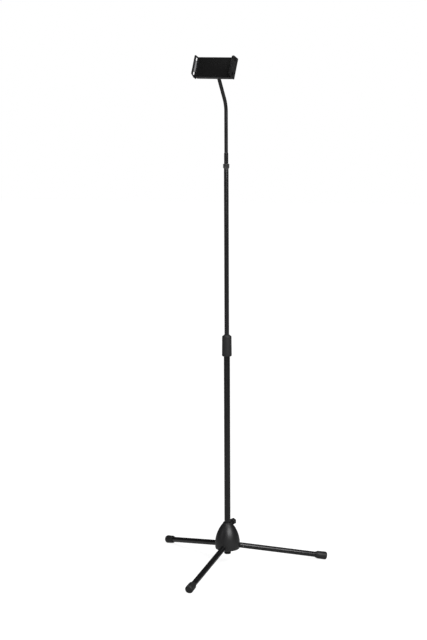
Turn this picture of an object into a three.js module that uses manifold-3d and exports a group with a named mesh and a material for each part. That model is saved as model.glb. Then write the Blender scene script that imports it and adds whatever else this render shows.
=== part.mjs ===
// Floor stand for a tablet or a music sheet display: a folding tripod, a two-part pole with a twist clutch,
// a bent neck that swivels, and a spring-loaded holder that tilts and turns. Millimetres, +Z up.
// The tripod's front leg and the holder's face look towards -Y.
import * as THREE from "three";
import { mergeVertices } from "three/addons/utils/BufferGeometryUtils.js";
import Module from "manifold-3d";

const wasm = await Module();
wasm.setup();

// Fit
const GAP = 0.3; // air between two pieces that touch
const FINE = 28; // sides of the large round pieces
const MEDIUM = 20; // sides of the tubes
const COARSE = 10; // sides of pins, screws and holes

// Where the pole stands, so that the origin is the middle of the footprint
const POLE_Y = 87.6;

// Tripod hub
const HUB_RADIUS = 45;
const HUB_RIM = 57.5;
const HUB_WAIST = 77; // height where the dome starts to draw in
const HUB_TOP = 156;
const DOME_ARC = 113; // radius of the arc that the dome's side follows
const HUB_WALL = 5;
const HUB_BORE = 13.3;
const SLEEVE_RADIUS = 17.5;

// Legs
const LEG_AZIMUTHS = { front: 270, right: 30, left: 150 };
const LEG_DIP = 9.9; // slope of a spread leg, degrees below level
const LEG_RADIUS = 9.75;
const LEG_WALL = 1.3;
const LEG_AXIS_HEIGHT = 76.4; // where the leg's line meets the pole's axis
const PIN_REACH = 30; // pole axis to hinge pin
const PIN_RADIUS = 3;
const PIN_LENGTH = 32;
const SLOT_RADIUS = LEG_RADIUS + 0.5;
const LUG_EYE = 8.6; // radius of the lug round its pin; its flat top bears on the slot's roof
const LUG_HALF = 6.5; // half the lug's thickness
const LUG_SHOULDER = 15; // pin to the end of the leg tube
const RIVET_REACH = 27; // pin to the rivet through the tube
const RIVET_RADIUS = 1.5;
const RIVET_HOLE = 1.8;
const LEG_END = 335; // pin to the tube's outer end
const FOOT_TIP = 343.5; // pin to the foot's outer end
const FOOT_LENGTH = 43;
const FOOT_RADIUS = 14.6;

// Pole
const LOWER_RADIUS = 11;
const LOWER_WALL = 1.5;
const LOWER_BOTTOM = 52;
const LOWER_TOP = 800;
const UPPER_RADIUS = 8.25;
const UPPER_WALL = 1.2;
const UPPER_BOTTOM = 690;
const UPPER_TOP = 1424;
const CAP_BOTTOM = 39;

// Clamp screw of the hub
const KNOB_AZIMUTH = 80;
const KNOB_HEIGHT = 149.5;
const KNOB_RADIUS = 12;
const KNOB_BACK = 28.6; // pole axis to the knob's near end
const KNOB_FACE = 46;
const CLAMP_SCREW_RADIUS = 2.9;
const CLAMP_HOLE = 3.4;
const BOSS_RADIUS = 6.2;

// Clutch between the tubes
const CLUTCH_BOTTOM = 763.5;
const CLUTCH_TOP = 840.5;
const GRIP_WALL_INSIDE = 15.5;

// Neck
const STUD_RADIUS = 4.75; // a 3/8 inch thread
const NUT_BOTTOM = 1429;
const NUT_TOP = 1446;
const NUT_FLATS = 20.5;
const COLLAR_STEP = NUT_TOP + 20; // inside the collar, the neck tube stands on this step
const COLLAR_TOP = 1483.5;
const NECK_TURN = -7.5; // the neck stands turned this far from the front leg
const NECK_BEND = 29.5;
const NECK_RADIUS = 6.35;
const NECK_WALL = 1.2;
const NECK_CORNER = 1650.7; // height where the neck's two straight lines meet
const BEND_RADIUS = 91;
const BEND_STEPS = 8;
const NECK_REACH = 118; // from that corner to the tilt pin
const KNUCKLE_LENGTH = 17; // tilt pin to the end of the neck tube
const TONGUE_HALF = 3.3;
const EYE_RADIUS = 6.4;
const EAR_INNER = 3.7;
const EAR_OUTER = 6.9;
const BOLT_RADIUS = 2.4;
const BOLT_HOLE = 2.7;

// Holder, in its own frame: origin on the tilt pin, -Y towards the reader, before it is tilted back
const HOLDER_TILT = 19;
const HOLDER_ROLL = 2.3; // its turn on the swivel screw, right end down
const HOLDER_MIDDLE = 14; // tilt pin to the middle of the jaws
const BACK_FACE = -13;
const FRONT_FACE = -32;
const BODY_HALF = 72;
const BODY_TOP = HOLDER_MIDDLE + 36;
const BODY_BOTTOM = HOLDER_MIDDLE - 36;
const BODY_WALL = 2.5;
const BODY_FLOOR = BACK_FACE - BODY_WALL;
const COVER_BACK = FRONT_FACE + 3.2;
const DISC_RADIUS = 17;
const DISC_BACK = BACK_FACE + 3;
const MAT_HALF = 67;
const MAT_LOW = BODY_BOTTOM + 4;
const MAT_HIGH = BODY_TOP - 4;
const JAW_FRONT = -48.5;
const JAW_BACK = -14;
const JAW_HALF_WIDTH = 77;
const JAW_HALF_HEIGHT = 37.5;
const JAW_WALL = 3.2;
const LIP_WIDTH = 6.7;
const LIP_THICKNESS = 3;
const WINDOW_SPOTS = [27, -24.5]; // heights from the middle of the jaws
const WINDOW_SIZE = 12;
const WINDOW_FRONT = JAW_FRONT + 8.5;
const PAD_HALF = 19;
const ARM_BACK = -21;
const ARM_THICKNESS = 4;
const ARM_FRONT = ARM_BACK - ARM_THICKNESS;
const ARM_MIDDLE = ARM_BACK - ARM_THICKNESS / 2;
const ARM_OUTER = 22;
const ARM_LENGTH = 40; // reach of a jaw's arm past the middle
const ROD_HEIGHT = 27.5;
const ROD_RADIUS = 2;
const SCREW_SPOTS = [
  [-55, ROD_HEIGHT],
  [-15, ROD_HEIGHT],
  [55, -ROD_HEIGHT],
  [15, -ROD_HEIGHT],
];

// Rack and pinion that keep the jaws centred
const MODULE_SIZE = 1;
const TEETH = 14;
const RACK_TEETH = 13;
const BACKLASH = 0.3;
const PRESSURE_ANGLE = 20;
const PITCH_RADIUS = (MODULE_SIZE * TEETH) / 2;

const FINISHES = {
  black_steel: { color: 0x141415, roughness: 0.42, metalness: 0.35 },
  black_casting: { color: 0x1c1c1d, roughness: 0.5, metalness: 0.25 },
  black_plastic: { color: 0x161617, roughness: 0.55, metalness: 0 },
  gloss_plastic: { color: 0x0c0c0d, roughness: 0.25, metalness: 0 },
  rubber: { color: 0x1a1a1a, roughness: 0.85, metalness: 0 },
  grey_rubber: { color: 0x7c7c7e, roughness: 0.8, metalness: 0 },
  bare_steel: { color: 0xa8abad, roughness: 0.35, metalness: 1 },
  brass: { color: 0xb59a4c, roughness: 0.35, metalness: 1 },
};

const rad = THREE.MathUtils.degToRad;

// ---------- shapes ----------

function piece(name, geometry, finish) {
  const mesh = new THREE.Mesh(geometry, new THREE.MeshStandardMaterial(FINISHES[finish]));
  mesh.name = name;
  return mesh;
}

function solidOf(geometry) {
  const bare = new THREE.BufferGeometry();
  bare.setAttribute("position", geometry.getAttribute("position"));
  bare.setIndex(geometry.index);
  const merged = mergeVertices(bare, 1e-4);
  return new wasm.Manifold(
    new wasm.Mesh({
      numProp: 3,
      vertProperties: merged.attributes.position.array,
      triVerts: new Uint32Array(merged.index.array),
    }),
  );
}

function geometryOf(solid) {
  const mesh = solid.getMesh();
  const geometry = new THREE.BufferGeometry();
  geometry.setAttribute("position", new THREE.BufferAttribute(mesh.vertProperties, 3));
  geometry.setIndex(new THREE.BufferAttribute(mesh.triVerts, 1));
  return geometry;
}

function join(...geometries) {
  return geometryOf(geometries.map(solidOf).reduce((sum, next) => sum.add(next)));
}

function cut(geometry, ...tools) {
  return geometryOf(tools.map(solidOf).reduce((rest, tool) => rest.subtract(tool), solidOf(geometry)));
}

function overlap(a, b) {
  return geometryOf(solidOf(a).intersect(solidOf(b)));
}

// A turned piece on the Z axis: its outline is [radius, height] pairs, from bottom to top on the outside.
function turned(outline, sides = MEDIUM) {
  const points = outline.map(([radius, height]) => new THREE.Vector2(radius, height));
  return new THREE.LatheGeometry(points, sides).rotateX(Math.PI / 2);
}

function rod(radius, low, high, sides = MEDIUM) {
  return turned([[0, low], [radius, low], [radius, high], [0, high]], sides);
}

function sleeve(inner, outer, low, high, sides = MEDIUM) {
  return turned([[inner, low], [outer, low], [outer, high], [inner, high], [inner, low]], sides);
}

// A round bar along X or Y, given by its ends on that axis.
function rodX(radius, low, high, sides = COARSE) {
  return rod(radius, low, high, sides).rotateY(Math.PI / 2);
}

function rodY(radius, low, high, sides = COARSE) {
  return rod(radius, -high, -low, sides).rotateX(Math.PI / 2);
}

function box(x0, x1, y0, y1, z0, z1) {
  const geometry = new THREE.BoxGeometry(x1 - x0, y1 - y0, z1 - z0);
  return geometry.translate((x0 + x1) / 2, (y0 + y1) / 2, (z0 + z1) / 2);
}

// A flat outline pushed up along Z.
function extruded(points, low, high) {
  const shape = new THREE.Shape(points.map(([x, y]) => new THREE.Vector2(x, y)));
  const geometry = new THREE.ExtrudeGeometry(shape, { depth: high - low, bevelEnabled: false });
  return geometry.translate(0, 0, low);
}

// An outline drawn in Y and Z, pushed along X.
function extrudedX(points, low, high) {
  return extruded(points, low, high).rotateY(Math.PI / 2).rotateX(Math.PI / 2);
}

// An outline drawn in X and Z, pushed along Y.
function extrudedY(points, low, high) {
  return extruded(points.map(([x, z]) => [x, -z]), low, high).rotateX(-Math.PI / 2);
}

function polygon(sides, acrossFlats, turn = 0) {
  const radius = acrossFlats / 2 / Math.cos(Math.PI / sides);
  const corner = (_, i) => turn + (2 * Math.PI * i) / sides;
  return Array.from({ length: sides }, corner).map((a) => [radius * Math.cos(a), radius * Math.sin(a)]);
}

// Points of an arc in a turned outline, from one angle to another, in degrees.
function arc(centreRadius, centreHeight, radius, from, to, steps) {
  return Array.from({ length: steps + 1 }, (_, i) => {
    const angle = rad(from + ((to - from) * i) / steps);
    return [centreRadius + radius * Math.cos(angle), centreHeight + radius * Math.sin(angle)];
  });
}

// ---------- tripod hub ----------

// The dome's half outline, drawn in by a wall thickness for its hollow.
function domeOutline(inset, bottom, top) {
  const radius = DOME_ARC - inset;
  const centre = HUB_RADIUS - DOME_ARC;
  const end = THREE.MathUtils.radToDeg(Math.asin((top - HUB_WAIST) / radius));
  return [[0, bottom], ...arc(centre, HUB_WAIST, radius, 0, end, 6), [0, top]];
}

function domeSolid() {
  const side = domeOutline(0, HUB_RIM, HUB_TOP - 4).slice(1, -1);
  const rim = [
    [0, HUB_RIM],
    [HUB_RADIUS - 5, HUB_RIM],
    [HUB_RADIUS - 1.8, HUB_RIM + 2],
    [HUB_RADIUS - 0.4, HUB_RIM + 6],
  ];
  const crown = [
    [HUB_BORE + 2.8, HUB_TOP - 1],
    [HUB_BORE + 1.6, HUB_TOP],
    [0, HUB_TOP],
  ];
  return turned([...rim, ...side, ...crown], FINE);
}

function domeHollow() {
  const [, ...side] = domeOutline(HUB_WALL, HUB_RIM, HUB_TOP - 30);
  return turned([[0, HUB_RIM - 1], [HUB_RADIUS - HUB_WALL, HUB_RIM - 1], ...side], MEDIUM);
}

// Places something drawn with X along a spread leg and its origin on the hinge pin.
function onLeg(object, azimuth) {
  const turn = new THREE.Matrix4().makeRotationZ(rad(azimuth));
  const out = new THREE.Matrix4().makeTranslation(PIN_REACH, 0, pinHeight());
  const dip = new THREE.Matrix4().makeRotationY(rad(LEG_DIP));
  return object.applyMatrix4(turn.multiply(out).multiply(dip));
}

function pinHeight() {
  return LEG_AXIS_HEIGHT - PIN_REACH * Math.tan(rad(LEG_DIP));
}

function legSlot(azimuth) {
  const inner = -SLOT_RADIUS;
  const outer = HUB_RADIUS;
  const tunnel = rodX(SLOT_RADIUS, inner, outer, 14);
  const mouth = box(inner, outer, -SLOT_RADIUS, SLOT_RADIUS, -HUB_RADIUS, 0);
  const roof = box(inner, LUG_SHOULDER, -LUG_HALF - GAP, LUG_HALF + GAP, 0, LUG_EYE + GAP);
  return onLeg(join(tunnel, mouth, roof), azimuth);
}

function legChannel(azimuth) {
  const half = PIN_LENGTH / 2 + GAP;
  const block = box(0, HUB_RADIUS, -half, half, HUB_RIM, pinHeight() + SLOT_RADIUS + HUB_WALL);
  return block.rotateZ(rad(azimuth));
}

function pinHole(azimuth) {
  return onLeg(rodY(PIN_RADIUS + GAP, -HUB_RADIUS, HUB_RADIUS), azimuth);
}

// Places something drawn along X onto the clamp screw's line.
function onClamp(geometry) {
  return geometry.rotateZ(rad(KNOB_AZIMUTH)).translate(0, 0, KNOB_HEIGHT);
}

function hubHousing() {
  const dome = domeSolid();
  const azimuths = Object.values(LEG_AZIMUTHS);
  const ribs = join(rod(SLEEVE_RADIUS, HUB_RIM, HUB_TOP - 20), ...azimuths.map(legChannel));
  const boss = onClamp(rodX(BOSS_RADIUS, HUB_BORE + 1, 28));
  const shell = join(cut(dome, domeHollow()), overlap(dome, ribs), boss);
  const bore = rod(HUB_BORE, HUB_RIM - 1, HUB_TOP + 1);
  const screwHole = onClamp(rodX(CLAMP_HOLE, 0, 30));
  const holes = azimuths.flatMap((azimuth) => [legSlot(azimuth), pinHole(azimuth)]);
  return piece("hub_housing", cut(shell, bore, screwHole, ...holes), "black_casting");
}

// Plastic guide between the hub and the pole, with a flange below that the end cap pulls against.
function poleBush() {
  const inner = LOWER_RADIUS + 0.25;
  const guide = turned([
    [inner, LOWER_BOTTOM + GAP],
    [HUB_BORE + 1.2, LOWER_BOTTOM + GAP],
    [HUB_BORE + 1.2, HUB_RIM - GAP],
    [HUB_BORE - GAP, HUB_RIM - GAP],
    [HUB_BORE - GAP, HUB_TOP - 0.5],
    [inner, HUB_TOP - 0.5],
    [inner, LOWER_BOTTOM + GAP],
  ]);
  return piece("pole_bush", cut(guide, onClamp(rodX(CLAMP_HOLE, 0, 30))), "black_plastic");
}

function clampPad() {
  return piece("clamp_pad", onClamp(rodX(2.8, LOWER_RADIUS + GAP, 13.6)), "brass");
}

function lockScrew() {
  return piece("lock_screw", onClamp(rodX(CLAMP_SCREW_RADIUS, 13.9, 39)), "bare_steel");
}

// A round knob with shallow finger lobes.
function lobedKnob(radius, lobes, depth, low, high) {
  const steps = lobes * 6;
  const outline = Array.from({ length: steps }, (_, i) => {
    const angle = (2 * Math.PI * i) / steps;
    const reach = radius - depth * (0.5 - 0.5 * Math.cos(lobes * angle));
    return [reach * Math.cos(angle), reach * Math.sin(angle)];
  });
  const crown = turned([
    [0, low],
    [radius - 1.5, low],
    [radius, low + 1.5],
    [radius, high - 3],
    [radius - 3, high],
    [0, high],
  ]);
  return overlap(extruded(outline, low, high), crown);
}

function lockKnob() {
  const knob = lobedKnob(KNOB_RADIUS, 6, 1.4, KNOB_BACK, KNOB_FACE);
  const blindHole = rod(CLAMP_SCREW_RADIUS + GAP, KNOB_BACK - 1, 39.4, COARSE);
  const bored = cut(knob, blindHole).rotateY(Math.PI / 2);
  return piece("lock_knob", onClamp(bored), "black_plastic");
}

// ---------- legs ----------

function legPin(side, azimuth) {
  const pin = onLeg(rodY(PIN_RADIUS, -PIN_LENGTH / 2, PIN_LENGTH / 2), azimuth);
  return piece(`${side}_leg_pin`, pin, "bare_steel");
}

// The casting that plugs into the leg tube and turns on the pin.
function legLug() {
  const eye = rodY(LUG_EYE, -LUG_HALF, LUG_HALF, MEDIUM);
  const web = box(0, LUG_SHOULDER - 3, -LUG_HALF, LUG_HALF, -LUG_EYE, LUG_EYE);
  const collar = rodX(LEG_RADIUS, LUG_SHOULDER - 5, LUG_SHOULDER - GAP, MEDIUM);
  const plug = rodX(LEG_RADIUS - LEG_WALL - GAP, LUG_SHOULDER - 5, LUG_SHOULDER + 24, MEDIUM);
  const rivetHole = rodY(RIVET_HOLE, -LEG_RADIUS, LEG_RADIUS).translate(RIVET_REACH, 0, 0);
  return cut(join(eye, web, collar, plug), rodY(PIN_RADIUS + GAP, -20, 20), rivetHole);
}

function legTube() {
  const tube = sleeve(LEG_RADIUS - LEG_WALL, LEG_RADIUS, LUG_SHOULDER, LEG_END);
  const rivetHole = rodY(RIVET_HOLE, -20, 20).translate(RIVET_REACH, 0, 0);
  return cut(tube.rotateY(Math.PI / 2), rivetHole);
}

function legRivet() {
  const half = LEG_RADIUS + 0.4;
  return rodY(RIVET_RADIUS, -half, half).translate(RIVET_REACH, 0, 0);
}

// Rubber shoe over the tube's end, with a flat worn on its underside where it meets the floor.
function legFoot(azimuth) {
  const open = FOOT_TIP - FOOT_LENGTH;
  const bore = LEG_RADIUS + GAP;
  const outline = [
    [0, FOOT_TIP],
    [FOOT_RADIUS - 7, FOOT_TIP],
    ...arc(FOOT_RADIUS - 6, FOOT_TIP - 6.5, 6, 75, 0, 4),
    [FOOT_RADIUS - 0.7, open + 8],
    [FOOT_RADIUS - 2.2, open + 4],
    [bore + 0.9, open],
    [bore, open],
    [bore, LEG_END + GAP],
    [0, LEG_END + GAP],
  ];
  const shoe = onLeg(turned(outline.reverse()).rotateY(Math.PI / 2), azimuth);
  const floor = box(-FOOT_TIP * 2, FOOT_TIP * 2, -FOOT_TIP * 2, FOOT_TIP * 2, -20, 0);
  return cut(shoe, floor);
}

function leg(side, azimuth) {
  const group = new THREE.Group();
  group.add(piece(`${side}_leg_lug`, onLeg(legLug(), azimuth), "black_casting"));
  group.add(piece(`${side}_leg_tube`, onLeg(legTube(), azimuth), "black_steel"));
  group.add(piece(`${side}_leg_rivet`, onLeg(legRivet(), azimuth), "bare_steel"));
  group.add(piece(`${side}_foot`, legFoot(azimuth), "rubber"));
  return group;
}

// ---------- pole ----------

function lowerTube() {
  const tube = sleeve(LOWER_RADIUS - LOWER_WALL, LOWER_RADIUS, LOWER_BOTTOM, LOWER_TOP);
  return piece("lower_tube", tube, "black_steel");
}

// Plug with a flange that is a little wider than the tube, so that the hub can't slide off.
function tubeEndCap() {
  const plug = LOWER_RADIUS - LOWER_WALL - GAP;
  const cap = turned([
    [0, CAP_BOTTOM],
    [LOWER_RADIUS, CAP_BOTTOM],
    [LOWER_RADIUS + 1.3, CAP_BOTTOM + 1.3],
    [LOWER_RADIUS + 1.3, CAP_BOTTOM + 4],
    [LOWER_RADIUS + 0.6, LOWER_BOTTOM - GAP],
    [plug, LOWER_BOTTOM - GAP],
    [plug, LOWER_BOTTOM + 14],
    [0, LOWER_BOTTOM + 14],
  ]);
  return piece("tube_end_cap", cap, "black_plastic");
}

// Fixed half of the clutch: a socket on the lower tube's end that carries the collet.
function clutchBody() {
  const body = turned([
    [LOWER_RADIUS + GAP, CLUTCH_BOTTOM + 3],
    [13.4, CLUTCH_BOTTOM + 3],
    [13.4, LOWER_TOP + 14],
    [11.4, LOWER_TOP + 14],
    [UPPER_RADIUS + 0.5, LOWER_TOP + 6],
    [UPPER_RADIUS + 0.5, LOWER_TOP + GAP],
    [LOWER_RADIUS + GAP, LOWER_TOP + GAP],
    [LOWER_RADIUS + GAP, CLUTCH_BOTTOM + 3],
  ]);
  return piece("clutch_body", body, "black_plastic");
}

// Split ring that the clutch squeezes onto the upper tube.
function clutchCollet() {
  const ring = turned([
    [UPPER_RADIUS + 0.2, LOWER_TOP + 8],
    [UPPER_RADIUS + 0.9, LOWER_TOP + 8],
    [UPPER_RADIUS + 2.6, LOWER_TOP + 14],
    [UPPER_RADIUS + 3.1, LOWER_TOP + 15],
    [UPPER_RADIUS + 3.1, CLUTCH_TOP - 7],
    [UPPER_RADIUS + 0.2, CLUTCH_TOP - 7],
    [UPPER_RADIUS + 0.2, LOWER_TOP + 8],
  ]);
  const split = box(0, 20, -0.8, 0.8, LOWER_TOP, CLUTCH_TOP);
  return piece("clutch_collet", cut(ring, split), "black_plastic");
}

// Threaded sleeve that pushes the collet down its cone.
function clutchNut() {
  const nut = turned([
    [13.8, CLUTCH_BOTTOM + 2.2],
    [GRIP_WALL_INSIDE - 0.4, CLUTCH_BOTTOM + 2.2],
    [GRIP_WALL_INSIDE - 0.4, CLUTCH_TOP - 4.5],
    [UPPER_RADIUS + 0.6, CLUTCH_TOP - 4.5],
    [UPPER_RADIUS + 0.6, CLUTCH_TOP - 6.6],
    [13.8, CLUTCH_TOP - 6.6],
    [13.8, CLUTCH_BOTTOM + 2.2],
  ]);
  return piece("clutch_nut", nut, "black_plastic");
}

// Soft grip moulded over the sleeve: slightly wider at its foot, chamfered on top.
function clutchGrip() {
  const grip = turned(
    [
      [LOWER_RADIUS + 0.5, CLUTCH_BOTTOM],
      [15.6, CLUTCH_BOTTOM],
      [17, CLUTCH_BOTTOM + 1.2],
      [17.5, CLUTCH_BOTTOM + 4],
      [17.5, CLUTCH_BOTTOM + 8],
      [16.8, CLUTCH_TOP - 7],
      [16.2, CLUTCH_TOP - 5.2],
      [UPPER_RADIUS + 2, CLUTCH_TOP],
      [UPPER_RADIUS + 0.4, CLUTCH_TOP],
      [UPPER_RADIUS + 0.4, CLUTCH_TOP - 4],
      [GRIP_WALL_INSIDE, CLUTCH_TOP - 4],
      [GRIP_WALL_INSIDE, CLUTCH_BOTTOM + 1.7],
      [LOWER_RADIUS + 0.5, CLUTCH_BOTTOM + 1.7],
      [LOWER_RADIUS + 0.5, CLUTCH_BOTTOM],
    ],
    FINE,
  );
  return piece("clutch_grip", grip, "rubber");
}

function upperTube() {
  const tube = sleeve(UPPER_RADIUS - UPPER_WALL, UPPER_RADIUS, UPPER_BOTTOM, UPPER_TOP);
  return piece("upper_tube", tube, "black_steel");
}

// Plastic slide at the upper tube's foot: it centres the tube and can't pass the clutch body.
function tubeGuide() {
  const slide = LOWER_RADIUS - LOWER_WALL - 0.2;
  const plug = UPPER_RADIUS - UPPER_WALL - GAP;
  const guide = turned([
    [4, UPPER_BOTTOM - 12],
    [slide, UPPER_BOTTOM - 12],
    [slide, UPPER_BOTTOM - GAP],
    [plug, UPPER_BOTTOM - GAP],
    [plug, UPPER_BOTTOM + 12],
    [4, UPPER_BOTTOM + 12],
    [4, UPPER_BOTTOM - 12],
  ]);
  return piece("tube_guide", guide, "black_plastic");
}

// ---------- neck ----------

function threadStud() {
  const plug = UPPER_RADIUS - UPPER_WALL - GAP;
  const stud = turned([
    [0, UPPER_TOP - 25],
    [plug, UPPER_TOP - 25],
    [plug, UPPER_TOP + GAP],
    [UPPER_RADIUS, UPPER_TOP + GAP],
    [UPPER_RADIUS, NUT_BOTTOM - GAP],
    [STUD_RADIUS, NUT_BOTTOM - GAP],
    [STUD_RADIUS, NUT_TOP + 18],
    [0, NUT_TOP + 18],
  ]);
  return piece("thread_stud", stud, "black_steel");
}

function lockNut() {
  const hexagon = extruded(polygon(6, NUT_FLATS), NUT_BOTTOM, NUT_TOP);
  const chamfers = turned([
    [0, NUT_BOTTOM],
    [8.6, NUT_BOTTOM],
    [11.7, NUT_BOTTOM + 4],
    [11.9, NUT_TOP - 1.2],
    [10.4, NUT_TOP],
    [0, NUT_TOP],
  ]);
  const bore = rod(STUD_RADIUS + GAP, NUT_BOTTOM - 1, NUT_TOP + 1);
  return piece("lock_nut", cut(overlap(hexagon, chamfers), bore), "black_steel");
}

// Socket that screws onto the stud and holds the neck tube.
function neckCollar() {
  const collar = turned([
    [STUD_RADIUS + GAP, NUT_TOP + GAP],
    [7, NUT_TOP + GAP],
    [7.5, NUT_TOP + 1],
    [7.5, COLLAR_TOP - 0.8],
    [7, COLLAR_TOP],
    [NECK_RADIUS + 0.15, COLLAR_TOP],
    [NECK_RADIUS + 0.15, COLLAR_STEP],
    [STUD_RADIUS + GAP, COLLAR_STEP],
    [STUD_RADIUS + GAP, NUT_TOP + GAP],
  ]);
  return piece("neck_collar", collar, "black_steel");
}

// The neck's centre line: straight up, a round bend towards -Y, and straight on.
class NeckLine extends THREE.Curve {
  constructor() {
    super();
    const tangent = BEND_RADIUS * Math.tan(rad(NECK_BEND / 2));
    const bend = Array.from({ length: BEND_STEPS + 1 }, (_, i) => {
      const angle = (rad(NECK_BEND) * i) / BEND_STEPS;
      const back = BEND_RADIUS * (1 - Math.cos(angle));
      return new THREE.Vector3(0, -back, NECK_CORNER - tangent + BEND_RADIUS * Math.sin(angle));
    });
    const start = new THREE.Vector3(0, 0, COLLAR_STEP + GAP);
    this.knots = [start, ...bend, neckPoint(NECK_REACH - KNUCKLE_LENGTH)];
  }

  getPoint(t, target = new THREE.Vector3()) {
    const along = t * (this.knots.length - 1);
    const knot = Math.min(Math.floor(along), this.knots.length - 2);
    return target.lerpVectors(this.knots[knot], this.knots[knot + 1], along - knot);
  }

  getUtoTmapping(u) {
    return u;
  }
}

// A point on the neck's upper straight line, this far past the corner.
function neckPoint(distance) {
  const bend = rad(NECK_BEND);
  return new THREE.Vector3(0, -distance * Math.sin(bend), NECK_CORNER + distance * Math.cos(bend));
}

function neckTube() {
  const section = new THREE.Shape().absarc(0, 0, NECK_RADIUS, 0, 2 * Math.PI);
  section.holes.push(new THREE.Path().absarc(0, 0, NECK_RADIUS - NECK_WALL, 0, 2 * Math.PI, true));
  const geometry = new THREE.ExtrudeGeometry(section, {
    steps: BEND_STEPS + 2,
    curveSegments: MEDIUM / 2,
    extrudePath: new NeckLine(),
  });
  return piece("neck_tube", geometry, "black_steel");
}

// Flattened plug in the neck's end: the tongue between the bracket's ears.
// It is drawn on the tilt pin, with Z along the neck.
function neckKnuckle() {
  const half = TONGUE_HALF;
  const round = EYE_RADIUS - 0.2;
  const tongue = join(rodX(round, -half, half, MEDIUM), box(-half, half, -round, round, -12, 0));
  const body = rod(NECK_RADIUS, -KNUCKLE_LENGTH + GAP, -11);
  const plug = rod(NECK_RADIUS - NECK_WALL - GAP, -KNUCKLE_LENGTH - 14, -11);
  const knuckle = cut(join(tongue, body, plug), rodX(BOLT_HOLE, -10, 10));
  return piece("neck_knuckle", knuckle, "black_casting");
}

// ---------- tilt joint, in the holder's frame ----------

function tiltBracket() {
  const disc = rodY(DISC_RADIUS, BACK_FACE + GAP, DISC_BACK, FINE);
  const ear = (low, high) => {
    const round = rodX(EYE_RADIUS, low, high, MEDIUM);
    return join(round, box(low, high, DISC_BACK - 1, 0, -EYE_RADIUS, EYE_RADIUS));
  };
  const ears = [ear(EAR_INNER, EAR_OUTER), ear(-EAR_OUTER, -EAR_INNER)];
  const boltHole = rodX(BOLT_HOLE, -10, 10);
  const screwSeat = turned([[0, 0], [2.2, 0], [2.2, 1.2], [3.8, 2.8], [3.8, 4], [0, 4]], COARSE);
  const seat = screwSeat.rotateX(-Math.PI / 2).translate(0, BACK_FACE, 0);
  return piece("tilt_bracket", cut(join(disc, ...ears), boltHole, seat), "black_casting");
}

// Countersunk screw on which the holder turns, and its nut inside the holder.
function swivelScrew() {
  const length = 5;
  const screw = turned([[0, -length], [1.7, -length], [1.7, 1.5], [3.3, 2.9], [0, 2.9]], COARSE);
  return piece("swivel_screw", screw.rotateX(-Math.PI / 2).translate(0, BACK_FACE, 0), "bare_steel");
}

function swivelNut() {
  const low = BODY_FLOOR - 2.3;
  const high = BODY_FLOOR - GAP;
  const nut = extrudedY(polygon(6, 6.4), low, high);
  return piece("swivel_nut", cut(nut, rodY(2, low - 1, high + 1)), "bare_steel");
}

function tiltBolt() {
  const head = extruded(polygon(6, 8), -EAR_OUTER - GAP - 3.4, -EAR_OUTER - GAP).rotateY(Math.PI / 2);
  const shank = rodX(BOLT_RADIUS, -EAR_OUTER - 1, EAR_OUTER + 9);
  return piece("tilt_bolt", join(head, shank), "bare_steel");
}

function tiltKnob() {
  const knob = lobedKnob(9, 8, 0.8, EAR_OUTER + GAP, EAR_OUTER + 12);
  const bored = cut(knob, rod(BOLT_HOLE, EAR_OUTER - 1, EAR_OUTER + 9.4, COARSE));
  return piece("tilt_knob", bored.rotateY(Math.PI / 2), "black_plastic");
}

// ---------- holder ----------

// An interval's two ends in rising order.
function span(a, b) {
  return [Math.min(a, b), Math.max(a, b)];
}

function screwHoles(radius, back, front) {
  return SCREW_SPOTS.map(([x, z]) => rodY(radius, front, back).translate(x, 0, HOLDER_MIDDLE + z));
}

// Tray that holds the racks, the pinion and the spring. The jaws' arms and rods leave through its end walls.
function holderBack() {
  const inner = BODY_HALF - BODY_WALL;
  const tray = box(-BODY_HALF, BODY_HALF, COVER_BACK + GAP, BACK_FACE, BODY_BOTTOM, BODY_TOP);
  const [hollowLow, hollowHigh] = [BODY_BOTTOM + BODY_WALL, BODY_TOP - BODY_WALL];
  const hollow = box(-inner, inner, COVER_BACK - 1, BODY_FLOOR, hollowLow, hollowHigh);
  const rail = (sign) => {
    const near = HOLDER_MIDDLE + sign * (ARM_OUTER + 0.5);
    return box(-inner, inner, ARM_FRONT, BODY_FLOOR, ...span(near, near + sign * 1.2));
  };
  const doors = [-1, 1].flatMap((side) => {
    const wall = span(side * (inner - 1), side * (BODY_HALF + 1));
    const armEdge = HOLDER_MIDDLE - side * (ARM_OUTER + 0.4);
    const toothEdge = HOLDER_MIDDLE - side * (PITCH_RADIUS + 0.8);
    const armDoor = box(...wall, ARM_FRONT - 0.4, ARM_BACK + 0.4, ...span(armEdge, toothEdge));
    return [armDoor, onRodLine(rodX(ROD_RADIUS + 0.4, ...wall), side)];
  });
  const axleHole = rodY(1.7, BODY_FLOOR - 1, BACK_FACE + 1).translate(0, 0, HOLDER_MIDDLE);
  const swivelHole = rodY(2.1, BODY_FLOOR - 1, BACK_FACE + 1);
  const heads = screwHoles(3.1, BACK_FACE + 1, BACK_FACE - 1.6);
  const shanks = screwHoles(1.7, BACK_FACE + 1, BODY_FLOOR - 1);
  const shell = join(cut(tray, hollow), rail(1), rail(-1));
  const tidy = cut(shell, ...doors, axleHole, swivelHole, ...heads, ...shanks);
  return piece("holder_back", tidy, "black_plastic");
}

// Places something drawn along X onto the line of a jaw's guide rod.
function onRodLine(geometry, side) {
  return geometry.translate(0, ARM_MIDDLE, HOLDER_MIDDLE + side * ROD_HEIGHT);
}

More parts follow.
